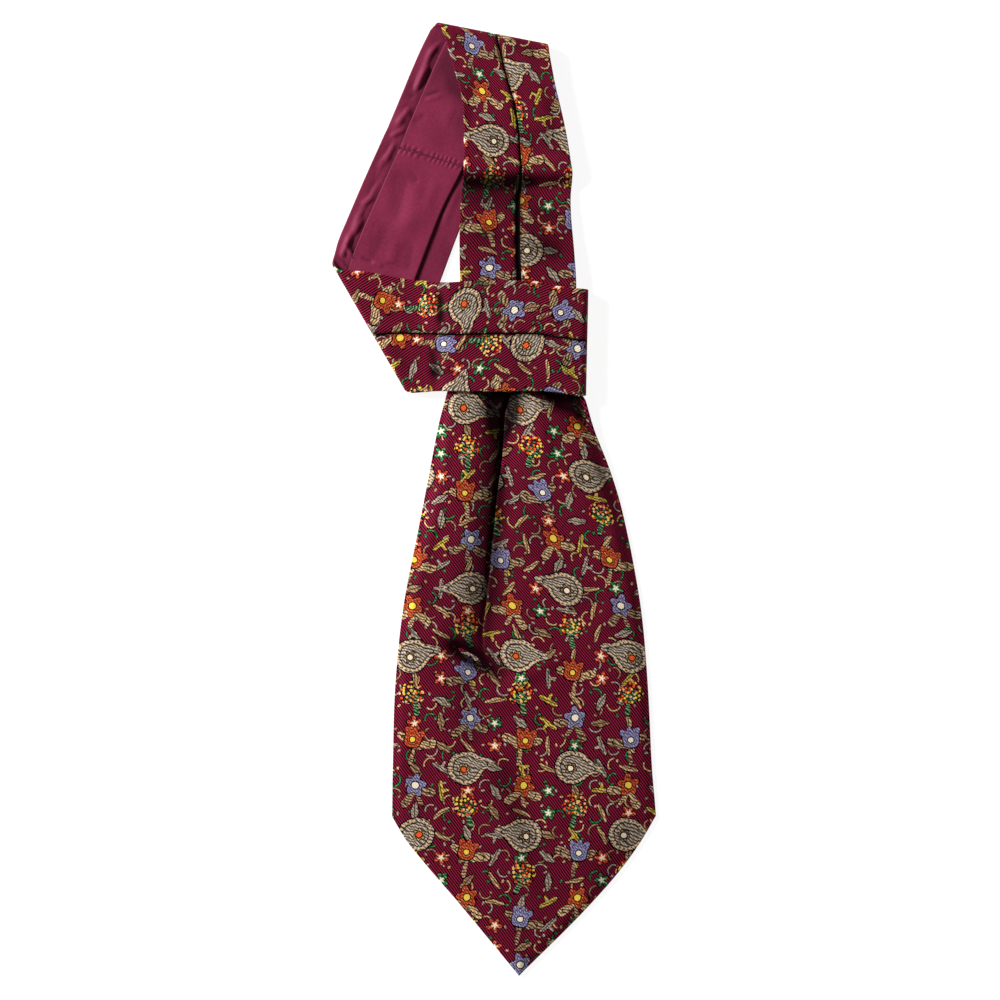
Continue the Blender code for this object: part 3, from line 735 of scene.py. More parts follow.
def shell(name, points, fabric, wall, material, round_end):
    """A thin closed shell of cloth: its outer face is a grid of points, and its long edges are round.

    Its first and last line end flat, because a fold or a seam carries on there, unless the last one is a hem.
    The fabric grid holds the cloth's own coordinates and its painted shade, from 0 to 1, deepest in a fold.
    """
    wall = np.broadcast_to(wall, points.shape[:2])
    edge = wall[0, 0] / 2
    points, fabric = drawn_in((points, fabric), run_lengths(points), edge, edge)
    if round_end:
        turned = points.swapaxes(0, 1)
        pulled = drawn_in((turned, fabric.swapaxes(0, 1)), run_lengths(turned), 0.0, edge)
        points, fabric = (grid.swapaxes(0, 1) for grid in pulled)
    across, along = np.gradient(points, axis=1), np.gradient(points, axis=0)
    lift = unit(np.cross(across, along)) * (wall / 2)[..., None]
    middle = points - lift

    # Each line becomes a closed loop: outer face, right edge, inner face, left edge
    angles = np.pi * np.arange(1, RIM_STEPS) / RIM_STEPS
    parts = [(middle, lift, fabric)]
    for column, side in ((-1, 1), (0, -1)):
        outward = unit(across[:, column]) * side
        reach = (wall[:, column] / 2)[:, None]
        turns = angles if side > 0 else angles[::-1]
        rim = [outward * reach * math.sin(a) + lift[:, column] * math.cos(a) for a in turns]
        shift = np.array([side, 0.0, 0.0]) * (reach * turns)[..., None]
        rim_middle = np.repeat(middle[:, column][:, None], len(turns), axis=1)
        parts.append((rim_middle, np.stack(rim, axis=1), fabric[:, column][:, None] + shift))
        if side > 0:
            parts.append((middle[:, ::-1], -lift[:, ::-1], fabric[:, ::-1]))
    middles, lifts, cloth = (np.concatenate(grids, axis=1) for grids in zip(*parts))

    if round_end:
        ahead = unit(along[-1])
        corner = RIM_STEPS - 1
        ahead = np.concatenate([ahead, ahead[-1:].repeat(corner, 0), ahead[::-1], ahead[:1].repeat(corner, 0)])
        turns = np.radians(END_TURNS)[:, None, None]
        middles = np.concatenate([middles, middles[-1] + ahead * edge * np.sin(turns)])
        lifts = np.concatenate([lifts, lifts[-1] * np.cos(turns)])
        cloth = np.concatenate([cloth, cloth[-1:].repeat(len(turns), 0)])

    placed = (middles + lifts - (MIDDLE_X, MIDDLE_Y, 0)) * MILLIMETRE
    lines, loop = placed.shape[:2]
    columns = points.shape[1]
    corner = np.arange(lines * loop).reshape(lines, loop)
    beside = np.roll(corner, -1, axis=1)
    quads = np.stack([corner[:-1], beside[:-1], beside[1:], corner[1:]], axis=-1).reshape(-1, 4)
    inner = (columns + RIM_STEPS - 1 + np.arange(columns)[::-1]).tolist()
    cap = [(j, j + 1, inner[j + 1], inner[j]) for j in range(columns - 1)]
    cap += [(*range(columns - 1, columns + RIM_STEPS),), (*range(inner[0], loop), 0)]
    first = [face[::-1] for face in cap]
    last = [tuple(v + (lines - 1) * loop for v in face) for face in cap]
    mesh = bpy.data.meshes.new(name)
    mesh.from_pydata(placed.reshape(-1, 3).tolist(), [], quads.tolist() + first + last)
    vertex = np.empty(len(mesh.loops), np.int32)
    mesh.loops.foreach_get("vertex_index", vertex)
    across_along = cloth[..., :2].reshape(-1, 2) * MILLIMETRE
    layer = mesh.uv_layers.new(name="fabric")
    layer.data.foreach_set("uv", across_along[vertex].astype(np.float32).ravel())
    # Painted shade at each point, from 0 to 1, which the shader mixes into the colour
    painted_shade = mesh.attributes.new("painted_shade", "FLOAT", "POINT")
    painted_shade.data.foreach_set("value", cloth[..., 2].astype(np.float32).ravel())
    mesh.shade_smooth()
    mesh.set_sharp_from_angle(angle=math.radians(SHARP_DEGREES))
    mesh.materials.append(material)
    return linked(name, mesh)


def sheet(node, made_of, points, fabric, wall, material, cut_width=None):
    """A shell that stands for a node: it goes on the root body, and the node's own part is hidden.

    Its lines run across the cloth. Where the cut width is given, they bend down to a tip that ends in a hem.
    """
    piece = shell(f"{node}_{made_of}", points, fabric, wall, material, round_end=cut_width is not None)
    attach(piece, "root")
    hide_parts(node)
    length = run_lengths(points.swapaxes(0, 1))[:, -1].max() * MILLIMETRE


def linear(name):
    """A named sRGB colour as the linear one that a shader takes."""
    share = np.array(COLOURS[name]) / 255
    return (*np.where(share <= 0.04045, share / 12.92, ((share + 0.055) / 1.055) ** 2.4), 1.0)


def plug(value, socket):
    """A number, colour or wire goes into a shader node's socket."""
    if isinstance(value, Wire):
        socket.node.id_data.links.new(value.socket, socket)
    else:
        socket.default_value = value


class Wire:
    """A value inside a shader tree, which takes part in plain arithmetic."""

    def __init__(self, socket):
        self.socket = socket

    def math(self, operation, *others):
        node = self.socket.node.id_data.nodes.new("ShaderNodeMath")
        node.operation = operation
        for value, slot in zip((self, *others), node.inputs):
            plug(value, slot)
        return Wire(node.outputs[0])

    def clamped(self, low=0.0, high=1.0):
        return self.math("MAXIMUM", low).math("MINIMUM", high)

    def between(self, low, high):
        return (self > low) * (self < high)


# Plain arithmetic on wires, and each of the named methods, lays a math node
for method, operation in (
    ("__add__", "ADD"), ("__sub__", "SUBTRACT"), ("__mul__", "MULTIPLY"), ("__truediv__", "DIVIDE"),
    ("__lt__", "LESS_THAN"), ("__gt__", "GREATER_THAN"), ("floor", "FLOOR"), ("modulo", "FLOORED_MODULO"),
    ("sine", "SINE"), ("cosine", "COSINE"), ("root", "SQRT"), ("absolute", "ABSOLUTE"), ("angle", "ARCTAN2"),
):
    setattr(Wire, method, partialmethod(Wire.math, operation))


def principled(name, values):
    """A new material, and its shader with these values in its own sockets."""
    material = bpy.data.materials.new(name)
    material.use_nodes = True
    shader = material.node_tree.nodes["Principled BSDF"]
    for socket, value in values.items():
        shader.inputs[socket].default_value = value
    return material, shader


class Finish:
    """A material with the nodes that every cloth here uses."""

    def __init__(self, name, roughness, sheen, gloss, shade=SILK_SHADE):
        values = {"Roughness": roughness, "Specular IOR Level": gloss, "Sheen Weight": sheen}
        self.material, self.shader = principled(name, {**values, "Sheen Roughness": SHEEN_ROUGHNESS})
        self.shade = shade
        fabric = Wire(self.node("UVMap", uv_map="fabric").outputs["UV"])
        scaled = self.node("VectorMath", {"Scale": 1 / MILLIMETRE, 0: fabric}, operation="SCALE")
        self.place = Wire(scaled.outputs[0])
        # Painted shade that the mesh holds for each point
        self.painted_shade = Wire(self.node("Attribute", attribute_name="painted_shade").outputs["Fac"])

    def node(self, kind, sockets=None, **settings):
        """A new node with its settings, and with numbers, colours or wires in its sockets."""
        node = self.material.node_tree.nodes.new("ShaderNode" + kind)
        for name, value in settings.items():
            setattr(node, name, value)
        for socket, value in (sockets or {}).items():
            plug(value, node.inputs[socket])
        return node

    def axes(self, vector, count=2):
        split = self.node("SeparateXYZ", {0: vector})
        return tuple(Wire(split.outputs[axis]) for axis in range(count))

    def noise(self, size, detail=2.0, output=0):
        """Noise over the cloth with features of about this size in millimetres, as a value or a colour (1)."""
        sockets = {"Scale": 1 / size, "Detail": detail, "Vector": self.place}
        node = self.node("TexNoise", sockets, noise_dimensions="2D")
        return Wire(node.outputs[output])

    def mix(self, share, first, second):
        """Two colours mixed. Sockets 6 and 7 and output 2 are the Mix node's own ones for colours."""
        return Wire(self.node("Mix", {"Factor": share, 6: first, 7: second}, data_type="RGBA").outputs[2])

    def pick(self, kind, colours):
        """The colour of a kind, numbered from 0."""
        node = self.node("ValToRGB", {0: (kind + 0.5) / len(colours)})
        node.color_ramp.interpolation = "CONSTANT"
        stops = node.color_ramp.elements
        stops.remove(stops[1])
        for index, colour in enumerate(colours):
            stop = stops.new(index / len(colours)) if index else stops[0]
            stop.color = colour if isinstance(colour, tuple) else linear(colour)
        return Wire(node.outputs["Color"])

    def outline_radius(self, angle_share, kind, shapes):
        """Radius of a kind's outline, from one curve that holds all the outlines side by side."""
        room = 1 - 2 * SLOT_MARGIN
        spots = []
        for index, shape in enumerate(shapes):
            turns = SLOT_MARGIN + (shape["degrees"] + 180) / 360 * room
            turns = np.concatenate([[SLOT_EDGE], turns, [1 - SLOT_EDGE]])
            radii = shape["radius"][[0, *range(len(turns) - 2), -1]]
            spots += zip((index + turns) / len(shapes), radii / RADIUS_SCALE)
        node = self.node("FloatCurve", {"Value": (angle_share * room + kind + SLOT_MARGIN) / len(shapes)})
        curve = node.mapping.curves[0]
        curve.points[0].location = spots[0]
        curve.points[1].location = spots[-1]
        for spot in spots[1:-1]:
            curve.points.new(*spot)
        for point in curve.points:
            point.handle_type = "AUTO_CLAMPED"
        node.mapping.update()
        return Wire(node.outputs[0]) * RADIUS_SCALE

    def polar(self, across, along):
        """Distance from the middle, and the angle as a share of a turn."""
        return (across * across + along * along).root(), along.angle(across) / TURN + 0.5

    def bump(self, height, strength, distance):
        node = self.node("Bump", {"Strength": strength, "Distance": distance, "Height": height})
        plug(Wire(node.outputs[0]), self.shader.inputs["Normal"])

    def colour(self, value):
        """The cloth's colour, with painted shade that darkens it where it lies deep in a fold."""
        plug(self.mix(self.painted_shade * self.shade, value, linear("depth")), self.shader.inputs["Base Color"])

    def cells(self, place, pitch, drop, turn):
        """Place in a cell of a repeat, mirrored and turned by the cell's own chance, and the cell's two numbers."""
        across, along = place
        column = (across / pitch[0]).floor()
        along = along + column.modulo(2.0) * (pitch[1] * drop)
        row = (along / pitch[1]).floor()
        chance = (column * COLUMN_CHANCE + row * ROW_CHANCE).modulo(1.0)
        x = (across - (column + 0.5) * pitch[0]) * ((chance > 0.5) * 2.0 - 1.0)
        y = along - (row + 0.5) * pitch[1]
        angle = ((chance * TURN_CHANCE).modulo(1.0) - 0.5) * turn
        cosine, sine = angle.cosine(), angle.sine()
        turned = x * cosine - y * sine, x * sine + y * cosine
        return *turned, row + column * COLUMN_STEP, (chance * SECOND_CHANCE).modulo(1.0)


def silk_print():
    """Burgundy twill with a tossed half-drop print of paisleys, blossoms, tulips and berry sprigs."""
    finish = Finish("printed_silk_twill", roughness=0.62, sheen=0.0, gloss=0.03)
    across, along = finish.axes(finish.place)
    dark, ink, cream = (linear(name) for name in ("outline", "ink", "cream"))

    # The ribs of the twill, from -1 between two ribs to 1 on one, a little uneven as thread is
    rib_phase = (across * RIB_ACROSS + along * RIB_ALONG) / RIB + finish.noise(RIB_WANDER_SIZE) * RIB_WANDER
    ribs = (rib_phase * TURN).sine()
    hatch = (ribs * RIB_CRISP + RIB_BROAD).clamped()
    colour = finish.mix(hatch, linear("ground"), linear("rib"))

    # Pen lines across the motifs, and the gaps of the ribs, which show through every colour
    jitter = finish.axes(finish.noise(UNEVEN_SIZE, detail=3.0, output=1))
    drawn_at = across + (jitter[0] - 0.5) * UNEVEN, along + (jitter[1] - 0.5) * UNEVEN
    wander = finish.noise(PEN_WANDER_SIZE, detail=1.0) * PEN_WANDER
    pen = (((drawn_at[1] + drawn_at[0] * PEN_LEAN) / PEN_PITCH + wander) * TURN).sine()
    penned = ((pen - PEN_INK) * PEN_INK_CRISP).clamped()
    lightened = ((pen * -1.0 - PEN_LIGHT) * PEN_LIGHT_CRISP).clamped() * PEN_LIGHTENS
    gap = (hatch * -1.0 + 1.0) * RIB_GAP

    def inked(thread, strength):
        """A thread colour with dark and light pen lines in it, and with dark between its ribs."""
        lined = finish.mix(penned * strength, thread, ink)
        return finish.mix(gap, finish.mix(lightened * strength, lined, cream), dark)

    def drawn(distance, inner, outer, fill, where=1.0):
        """Lays a motif over the colour so far, inside its dark outline."""
        outlined = finish.mix((distance < outer) * where, colour, dark)
        return finish.mix((distance < inner) * where, outlined, fill)

    # Tendrils, short arcs in the ground
    x, y, number, chance = finish.cells(drawn_at, TENDRIL_PITCH, TENDRIL_DROP, TURN)
    distance, angle = finish.polar(x, y)
    off = (distance - TENDRIL_RADIUS - chance * TENDRIL_VARIES).absolute()
    arc = angle.between(*TENDRIL_ARC) * (chance > TENDRIL_CHANCE)
    x, y = x - TENDRIL_LEAF[0], y - TENDRIL_LEAF[1]
    leaf_tip = (x * x + y * y * TENDRIL_LEAF_SLIM).root()
    fill = inked(finish.pick(number.modulo(KINDS), TENDRIL_COLOURS), TENDRIL_INKED)
    colour = drawn(off, *TENDRIL_WIDTHS, fill, arc)
    colour = drawn(leaf_tip, *TENDRIL_LEAF_RADII, fill)

    # Fillers, between the main motifs
    shifted = drawn_at[0] + FILL_PITCH[0] / 2, drawn_at[1] + FILL_PITCH[1] / 2
    x, y, number, chance = finish.cells(shifted, FILL_PITCH, 0.0, FILL_TURN)
    distance, angle = finish.polar(x, y)
    kind = (number + chance * KINDS).floor().modulo(KINDS)
    radius = finish.outline_radius(angle, kind, FILL_SHAPES) * FILLER_GROWTH
    fill = inked(finish.pick(kind + (chance > 0.5) * KINDS, FILL_COLOURS), FILL_INKED)
    vein = (y + x * VEIN_LEAN).absolute() < VEIN
    fill = finish.mix(vein * (kind < LAST_KIND), fill, ink)
    fill = finish.mix((distance < radius * STARLET_HEART) * (kind > LAST_KIND), fill, cream)
    colour = drawn(distance, radius, radius + OUTLINE, fill)

    # Main motifs: leaves and paisleys, with beads along the paisleys' edge
    x, y, number, chance = finish.cells(drawn_at, MAIN_PITCH, MAIN_DROP, MAIN_TURN)
    kind = number.modulo(KINDS)
    tinted = kind + (chance > 0.5) * KINDS
    places = [(a / BLOOM_SPAN + 0.5, b / BLOOM_SPAN + 0.5, tilt / 360 + 0.5, 1.0) for a, b, tilt in BLOOM_PLACES]
    place_across, place_along, tilt = finish.axes(finish.pick(kind, places), 3)
    distance, angle = finish.polar(x, y)
    radius = finish.outline_radius((angle + tilt + 0.5).modulo(1.0), kind, LEAF_SHAPES)
    leaf = inked(finish.pick(tinted, LEAF_COLOURS), LEAF_INKED)
    leaf = finish.mix((distance / radius).between(*LEAF_RING) * LEAF_RING_DARK, leaf, dark)
    bead_along = ((angle * BEADS).modulo(1.0) - 0.5) * distance * (TURN / BEADS)
    bead, _ = finish.polar(bead_along, distance - radius * BEAD_RING)
    leaf = finish.mix((bead < BEAD_RADIUS) * (kind < FIRST_KIND), leaf, linear("tan"))
    colour = drawn(distance, radius, radius + OUTLINE, leaf)

    # Blooms on them, and berries in the crown of the sprig
    x, y = x - (place_across - 0.5) * BLOOM_SPAN, y - (place_along - 0.5) * BLOOM_SPAN
    distance, angle = finish.polar(x, y)
    radius = finish.outline_radius((angle + tilt + 0.5).modulo(1.0), kind, BLOOM_SHAPES)
    cores = finish.pick(kind, [(size / CORE_SPAN, 0.0, 0.0, 1.0) for size in CORE_RADIUS])
    core = finish.axes(cores)[0] * CORE_SPAN
    strokes = ((angle * (STROKES * TURN)).sine() - STROKE_THIN).clamped() * (distance > core + STROKE_GAP)
    bloom = finish.mix(strokes * BLOOM_DARK, inked(finish.pick(tinted, BLOOM_COLOURS), BLOOM_INKED), dark)
    ring = (distance > radius * BLOOM_RING[0]) * (distance < radius * BLOOM_RING[1])
    bloom = finish.mix(ring * BLOOM_DARK, bloom, dark)
    bloom = finish.mix(distance < core + OUTLINE, bloom, dark)
    bloom = finish.mix(distance < core, bloom, finish.pick(tinted, CORE_COLOURS))
    colour = drawn(distance, radius, radius + OUTLINE, bloom, kind < LAST_KIND)

    berries = finish.node("TexVoronoi", {"Scale": 1 / BERRY_PITCH, "Vector": finish.place}, voronoi_dimensions="2D")
    berry = Wire(berries.outputs["Distance"]) * BERRY_PITCH
    tone = finish.axes(Wire(berries.outputs["Color"]))[0] * len(BERRY_COLOURS)
    crown = (distance < radius) * (kind > LAST_KIND)
    colour = drawn(berry, *BERRY_RADII, finish.pick(tone.floor(), BERRY_COLOURS), crown)

    finish.colour(colour)
    finish.bump(ribs, strength=0.5, distance=0.00012)
    return finish.material


def lining_satin(name, darker, lighter, shade):
    """Burgundy satin: a fine even weave, with slow changes of tone and fine threads along the cloth."""
    finish = Finish(name, roughness=0.55, sheen=0.02, gloss=0.1, shade=shade)
    slow, fine = finish.noise(SATIN_SLOW_SIZE), finish.noise(SATIN_FINE_SIZE, detail=3.0)
    threads = (finish.axes(finish.place)[0] * (TURN / SATIN_THREAD) + slow * SATIN_THREAD_BEND).sine()
    tone = (slow * SATIN_SLOW + threads * SATIN_THREAD_TONE + (fine - 0.5) * SATIN_FINE + SATIN_BASE).clamped()
    finish.colour(finish.mix(tone, linear(darker), linear(lighter)))
    finish.bump(threads * SATIN_THREAD_RELIEF + fine, strength=0.2, distance=0.0001)
    return finish.material


def thread_finish():
    """Twisted burgundy thread."""
    finish = Finish("silk_thread", roughness=0.5, sheen=0.05, gloss=0.3)
    across, along = finish.axes(finish.place)
    twist = ((across + along * TWIST_LEAN) * TWIST_TURNS).sine()
    finish.colour(finish.mix(twist * TWIST_TONE + 0.5, linear("lining_deep"), linear("thread")))
    finish.bump(twist, strength=0.5, distance=0.0001)
    return finish.material


def column_shares(middle, columns):
    """Shares of the width at which a blade's columns run, crowded to both edges and to the middle one."""
    even = np.linspace(0, 1, columns + 1)
    half = even * (1 - CROWDING) + (1 - np.cos(math.pi * even)) / 2 * CROWDING
    return np.concatenate([half * middle, middle + half[1:] * (1 - middle)])


def blade_plan(rows, columns, finer):
    """Plan of a blade, row by row. Its middle column runs down the valley to the point of the tip."""
    reads = stations(rows, finer)
    full_dip = rows["dip"][-1]
    plan = []
    for y, left, right, dip in zip(*(reads[name] for name in ("y", "left", "right", "dip"))):
        middle = (read(VALLEY, "x", y - dip) - left) / (right - left)
        shares = column_shares(middle, columns)
        beside = np.where(shares < middle, (middle - shares) / middle, (shares - middle) / (1 - middle))
        rises = [smooth(beside, TIP_SIDES["share"], TIP_SIDES[side + "_rise"]) for side in SIDES]
        pointed = 1 - np.where(shares < middle, *rises) / full_dip
        blend = (dip / full_dip) ** 2
        drop = dip * (pointed * blend + (1 - beside**2) * (1 - blend))
        plan.append(np.stack([left + (right - left) * shares, y - drop], axis=-1))
    return np.array(plan)


def rim_distance(plan, finer=1):
    """Distance in plan from each point of a blade to its outline, which goes round the tip, not along the top."""
    rim = np.concatenate([plan[::finer, 0], plan[-1, ::finer], plan[::-1, -1][::finer]])
    nearest = np.full(plan.shape[:-1], np.inf)
    for start, end in zip(rim, rim[1:]):
        run = end - start
        if run @ run < SAME_POINT:
            continue
        share = np.clip(((plan - start) @ run) / (run @ run), 0, 1)
        gap = plan - (start + share[..., None] * run)
        nearest = np.minimum(nearest, np.hypot(gap[..., 0], gap[..., 1]))
    return nearest


def blade_surface():
    """The front blade's face and its cloth's own coordinates: the crown, rim, valley, lip and creases."""
    plan = blade_plan(BLADE, BLADE_COLUMNS, BLADE_FINER)
    y = plan[..., 1]
    from_rim = rim_distance(plan, BLADE_FINER)
    crown, edge, roll = (read(BLADE, name, y) for name in ("crown", "rim", "roll"))
    dome = 1 - (1 - np.clip(from_rim / DOME_REACH, 0, 1)) ** 2
    height = edge + (crown - edge) * (ramp(from_rim / roll) * (1 - DOME_SHARE) + dome * DOME_SHARE)
    valley = {name: read(VALLEY, name, y) for name in VALLEY}
    beside = plan[..., 0] - valley["x"]
    left, right = (bell(beside / valley[side + "_width"]) for side in SIDES)
    rolled = left * (1 - VALLEY_STEEP_SHARE) + bell(beside / VALLEY_STEEP) * VALLEY_STEEP_SHARE
    lapped = right * (1 - LAP_SHARE) + bell(beside / LAP_EDGE) * LAP_SHARE
    height -= valley["depth"] * np.where(beside < 0, rolled, lapped)

    # The right half's edge laps over the left half, which goes down under it into the shade
    points = np.concatenate([plan, height[..., None]], axis=-1)
    pushed = (1 - bell(beside / LAP_EDGE)) * bell(beside / LAP_REACH)
    points[..., 0] -= np.where(beside > 0, valley["lap"] * pushed, 0.0)
    inner = ramp(from_rim / RIM_CLEAR)
    creases = crease_relief(plan, BLADE_CREASES) * inner
    points[..., 2] += creases + wave_relief(plan) * inner
    # Painted shade, from 0 to 1: on the left half's roll into the valley, on to the right half as far as the shade
    # column says, and in every trough
    shaded = np.sqrt(valley["depth"] / VALLEY_SHADE) * np.where(beside < 0, left, bell(beside / valley["shade"]))
    shaded = np.clip(shaded - creases / BLADE_SHADE, 0, 1)
    fabric = np.concatenate([plan, shaded[..., None]], axis=-1)
    fabric[..., 0] += np.where(beside > 0, valley["hidden"], 0.0)
    return points, fabric


def front_blade():
    points, fabric = blade_surface()
    rolled = 1 - ramp(rim_distance(points[..., :2], BLADE_FINER) / BLADE_RIM_WIDTH)
    wall = BLADE_SHELL + (BLADE_RIM_SHELL - BLADE_SHELL) * rolled
    # Its rows run down to the tip, so its columns are turned round to keep the printed face up
    points, fabric, wall = (grid[:, ::-1] for grid in (points, fabric, wall))
    sheet("front_blade", "silk", points, fabric, wall, silk, np.ptp(fabric[..., 0]))


def under_blade():
    """The second blade, flat on the surface, from the slanting edge behind the knot."""
    rows = {name: column[UNDER_FIRST_ROW:].copy() for name, column in BLADE.items()}
    rows["left"] += UNDER_INSET
    rows["right"] -= UNDER_INSET
    rows["dip"][-UNDER_TIP_ROWS:] -= UNDER_TIP_SHORT
    rows["y"][-UNDER_TIP_ROWS:] += UNDER_HEM_RISE
    rows["steps"] = np.array(UNDER_STEPS)
    plan = blade_plan(rows, UNDER_COLUMNS, UNDER_FINER)
    head_right, head_left = (np.array([WRAP[side + "_x"][-1], WRAP[side + "_y"][-1]]) for side in SIDES)
    head = head_left + (head_right - head_left) * np.linspace(0, 1, 2 * UNDER_COLUMNS + 1)[:, None]
    between = [head * (1 - spread) + plan[0] * spread for spread in UNDER_SPREAD]
    plan = np.concatenate([between, plan])[:, ::-1]
    # Its underside stays flat on the surface, so its creases are in its upper face alone
    relief = np.clip(crease_relief(plan, UNDER_CREASES) + wave_relief(plan), -UNDER_RELIEF, UNDER_RELIEF)
    height = UNDER_SHELL + relief * ramp(rim_distance(plan) / UNDER_RIM_WIDTH)
    points = np.concatenate([plan, height[..., None]], axis=-1)
    sheet("under_blade", "silk", points, points * (1, 1, 0), height, silk, np.ptp(plan[..., 0]))


def lines_between(first, last, finer=1):
    """The whole stations between two, or finer ones, with both of these."""
    inside = np.arange(math.ceil(first * finer), math.floor(last * finer) + 1) / finer
    return np.unique(np.concatenate([[first], inside, [last]]))


def pressed(points, normal, fabric, creases, sink=None, extra=0.0):
    """Folded cloth with its creases: it moves up or down where it lies flat, and takes painted shade in a trough."""
    if creases is None:
        return points, fabric
    relief = crease_relief(points, creases) + extra
    # Painted shade from the troughs, and from the extra sinking by a slit or along a seam's groove
    fabric[..., 2] = np.clip(-relief / BAND_SHADE, 0, 1)
    relief = relief + wave_relief(points)
    if sink is not None:
        relief = np.maximum(relief, -sink)
    return points + (relief * normal[..., 2] ** 2)[..., None] * (0, 0, 1), fabric


def panel_grid(side, line, columns, inset, depth):
    """A panel's points this far under its silk side, with their normals, fabric, and how the slit turns them."""
    start, stop = band.panel_ends(line, side)
    width = band.at(band.width, line)
    shares = shares_between(start + inset / width, stop - inset / width, columns)
    points, normal = band.points(shares, line, depth)
    from_slit = abs(shares - (stop if side < 0 else start)[:, None]) * width[:, None]
    return points, normal, band.fabric(shares, line, PLEAT_HIDDEN if side > 0 else 0.0), from_slit


def shade_more(fabric, amount):
    """Cloth takes at least this much painted shade."""
    fabric[..., 2] = np.maximum(fabric[..., 2], amount)


def outer_panel(node, side, first, last, creases):
    """One panel of a stretch in silk, printed side out, from the band's edge to the centre slit."""
    points, normal, fabric, from_slit = panel_grid(side, lines_between(first, last), PANEL_COLUMNS, 0.0, 0.0)
    # The edge turns down into the slit, and the cloth there and beside the slit takes painted shade
    turned = -SLIT_TURN * bell(from_slit / SLIT_TURN_WIDTH)
    points, fabric = pressed(points, normal, fabric, creases, extra=turned)
    if creases is not None:
        shade_more(fabric, bell(from_slit / SLIT_SHADE_WIDTH))
    sheet(node, "silk", points, fabric, SILK_SHELL, silk)


def lining_panel(node, side, first, last, creases, sink):
    """The satin on the inner side of the same panel, a little inside its silk edges where it lies face down."""
    line = lines_between(first, last)
    inset = LINING_INSET if sink is None else 0.0
    points, normal, fabric, from_slit = panel_grid(side, line, LINING_COLUMNS, inset, SILK_SHELL)
    turned = -SLIT_TURN * bell(from_slit / SLIT_TURN_WIDTH) if sink is None else 0.0
    points, fabric = pressed(points, normal, fabric, creases, sink, turned)
    # Painted shade over the side strips, darkest beside the underlay's edge, as a painted shadow of that edge
    if sink is not None:
        hidden, edge = (PLEAT_HIDDEN, "to") if side > 0 else (0.0, "from")
        share = (fabric[..., 0] - hidden) / BAND_WIDTH
        beside = abs(share - band.at(strip[edge], line)[:, None]) * BAND_WIDTH
        shade_more(fabric, STRIP_SHADE + (1 - STRIP_SHADE) * bell(beside / EDGE_SHADE_WIDTH))
    sheet(node, "lining", points, fabric, LINING_SHELL, satin)


def pleat_underlay(node, first, last, creases, sink, material):
    """The pleat's raised centre on the lining side of the two panels."""
    line = lines_between(first, last, finer=2)
    shares = shares_between(band.at(strip["from"], line), band.at(strip["to"], line), UNDERLAY_COLUMNS)
    points, normal = band.points(shares, line, PANEL_WALL + LAYER_GAP)
    sewn = 0.0 if sink is None else tack_relief(points)
    points, fabric = pressed(points, normal, band.fabric(shares, line), creases, sink, sewn)
    # Painted shade: in full on the neck and cross underlays, which show only in the slits, and on the rear underlay's
    # edges
    from_edge = np.minimum(shares - shares[:, :1], shares[:, -1:] - shares) * BAND_WIDTH
    edge_shade = UNDERLAY_EDGE_SHADE * bell(from_edge / UNDERLAY_EDGE_WIDTH)
    shade_more(fabric, 1.0 if sink is None else edge_shade)
    sheet(node, "satin", points, fabric, PLEAT_SHELL, material)
    return points - normal * PLEAT_SHELL


def wrap():
    """The hidden stretch behind the knot."""
    line = lines_between(right_fold, band.station[-1])
    shares = shares_between(np.zeros(len(line)), np.ones(len(line)), WRAP_COLUMNS)
    points, normal = band.points(shares, line, 0.0)
    points, fabric = pressed(points, normal, band.fabric(shares, line), WRAP_CREASES, SEWN_SINK)
    sheet("wrap", "silk", points, fabric, WRAP_SHELL, silk)


def tack_stitches(surface):
    """The hand-sewn stitches across the seam that holds the pleat down behind, joined as one piece."""
    start, end = from_photo(*TACK_FROM), from_photo(*TACK_TO)
    run = end - start
    sewn = bmesh.new()
    layer = sewn.loops.layers.uv.new("fabric")
    reach = Vector((STITCH_LENGTH / 2, STITCH_RADIUS, STITCH_RADIUS)) * MILLIMETRE
    for number in range(TACK_STITCHES):
        share = (number + 0.5 + STITCH_STRAY * math.sin(number * 2.3)) / TACK_STITCHES
        x, y = start + run * share
        nearest = np.hypot(surface[..., 0] - x, surface[..., 1] - y).argmin()
        spot = Vector((x - MIDDLE_X, y - MIDDLE_Y, surface[..., 2].flat[nearest])) * MILLIMETRE
        angle = math.atan2(run[1], run[0]) + STITCH_SLANT + STITCH_TURN * math.sin(number * 1.7)
        placed = Matrix.Translation(spot) @ Matrix.Rotation(angle, 4, "Z") @ Matrix.Diagonal((*reach, 1))
        bmesh.ops.create_uvsphere(sewn, u_segments=10, v_segments=8, radius=1.0, matrix=placed)
    for face in sewn.faces:
        for loop in face.loops:
            loop[layer].uv = loop.vert.co.xy
    mesh = bpy.data.meshes.new("tack_stitches")
    sewn.to_mesh(mesh)
    sewn.free()
    mesh.shade_smooth()
    mesh.materials.append(thread)
    piece = linked("tack_stitches", mesh)
    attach(piece, "root")


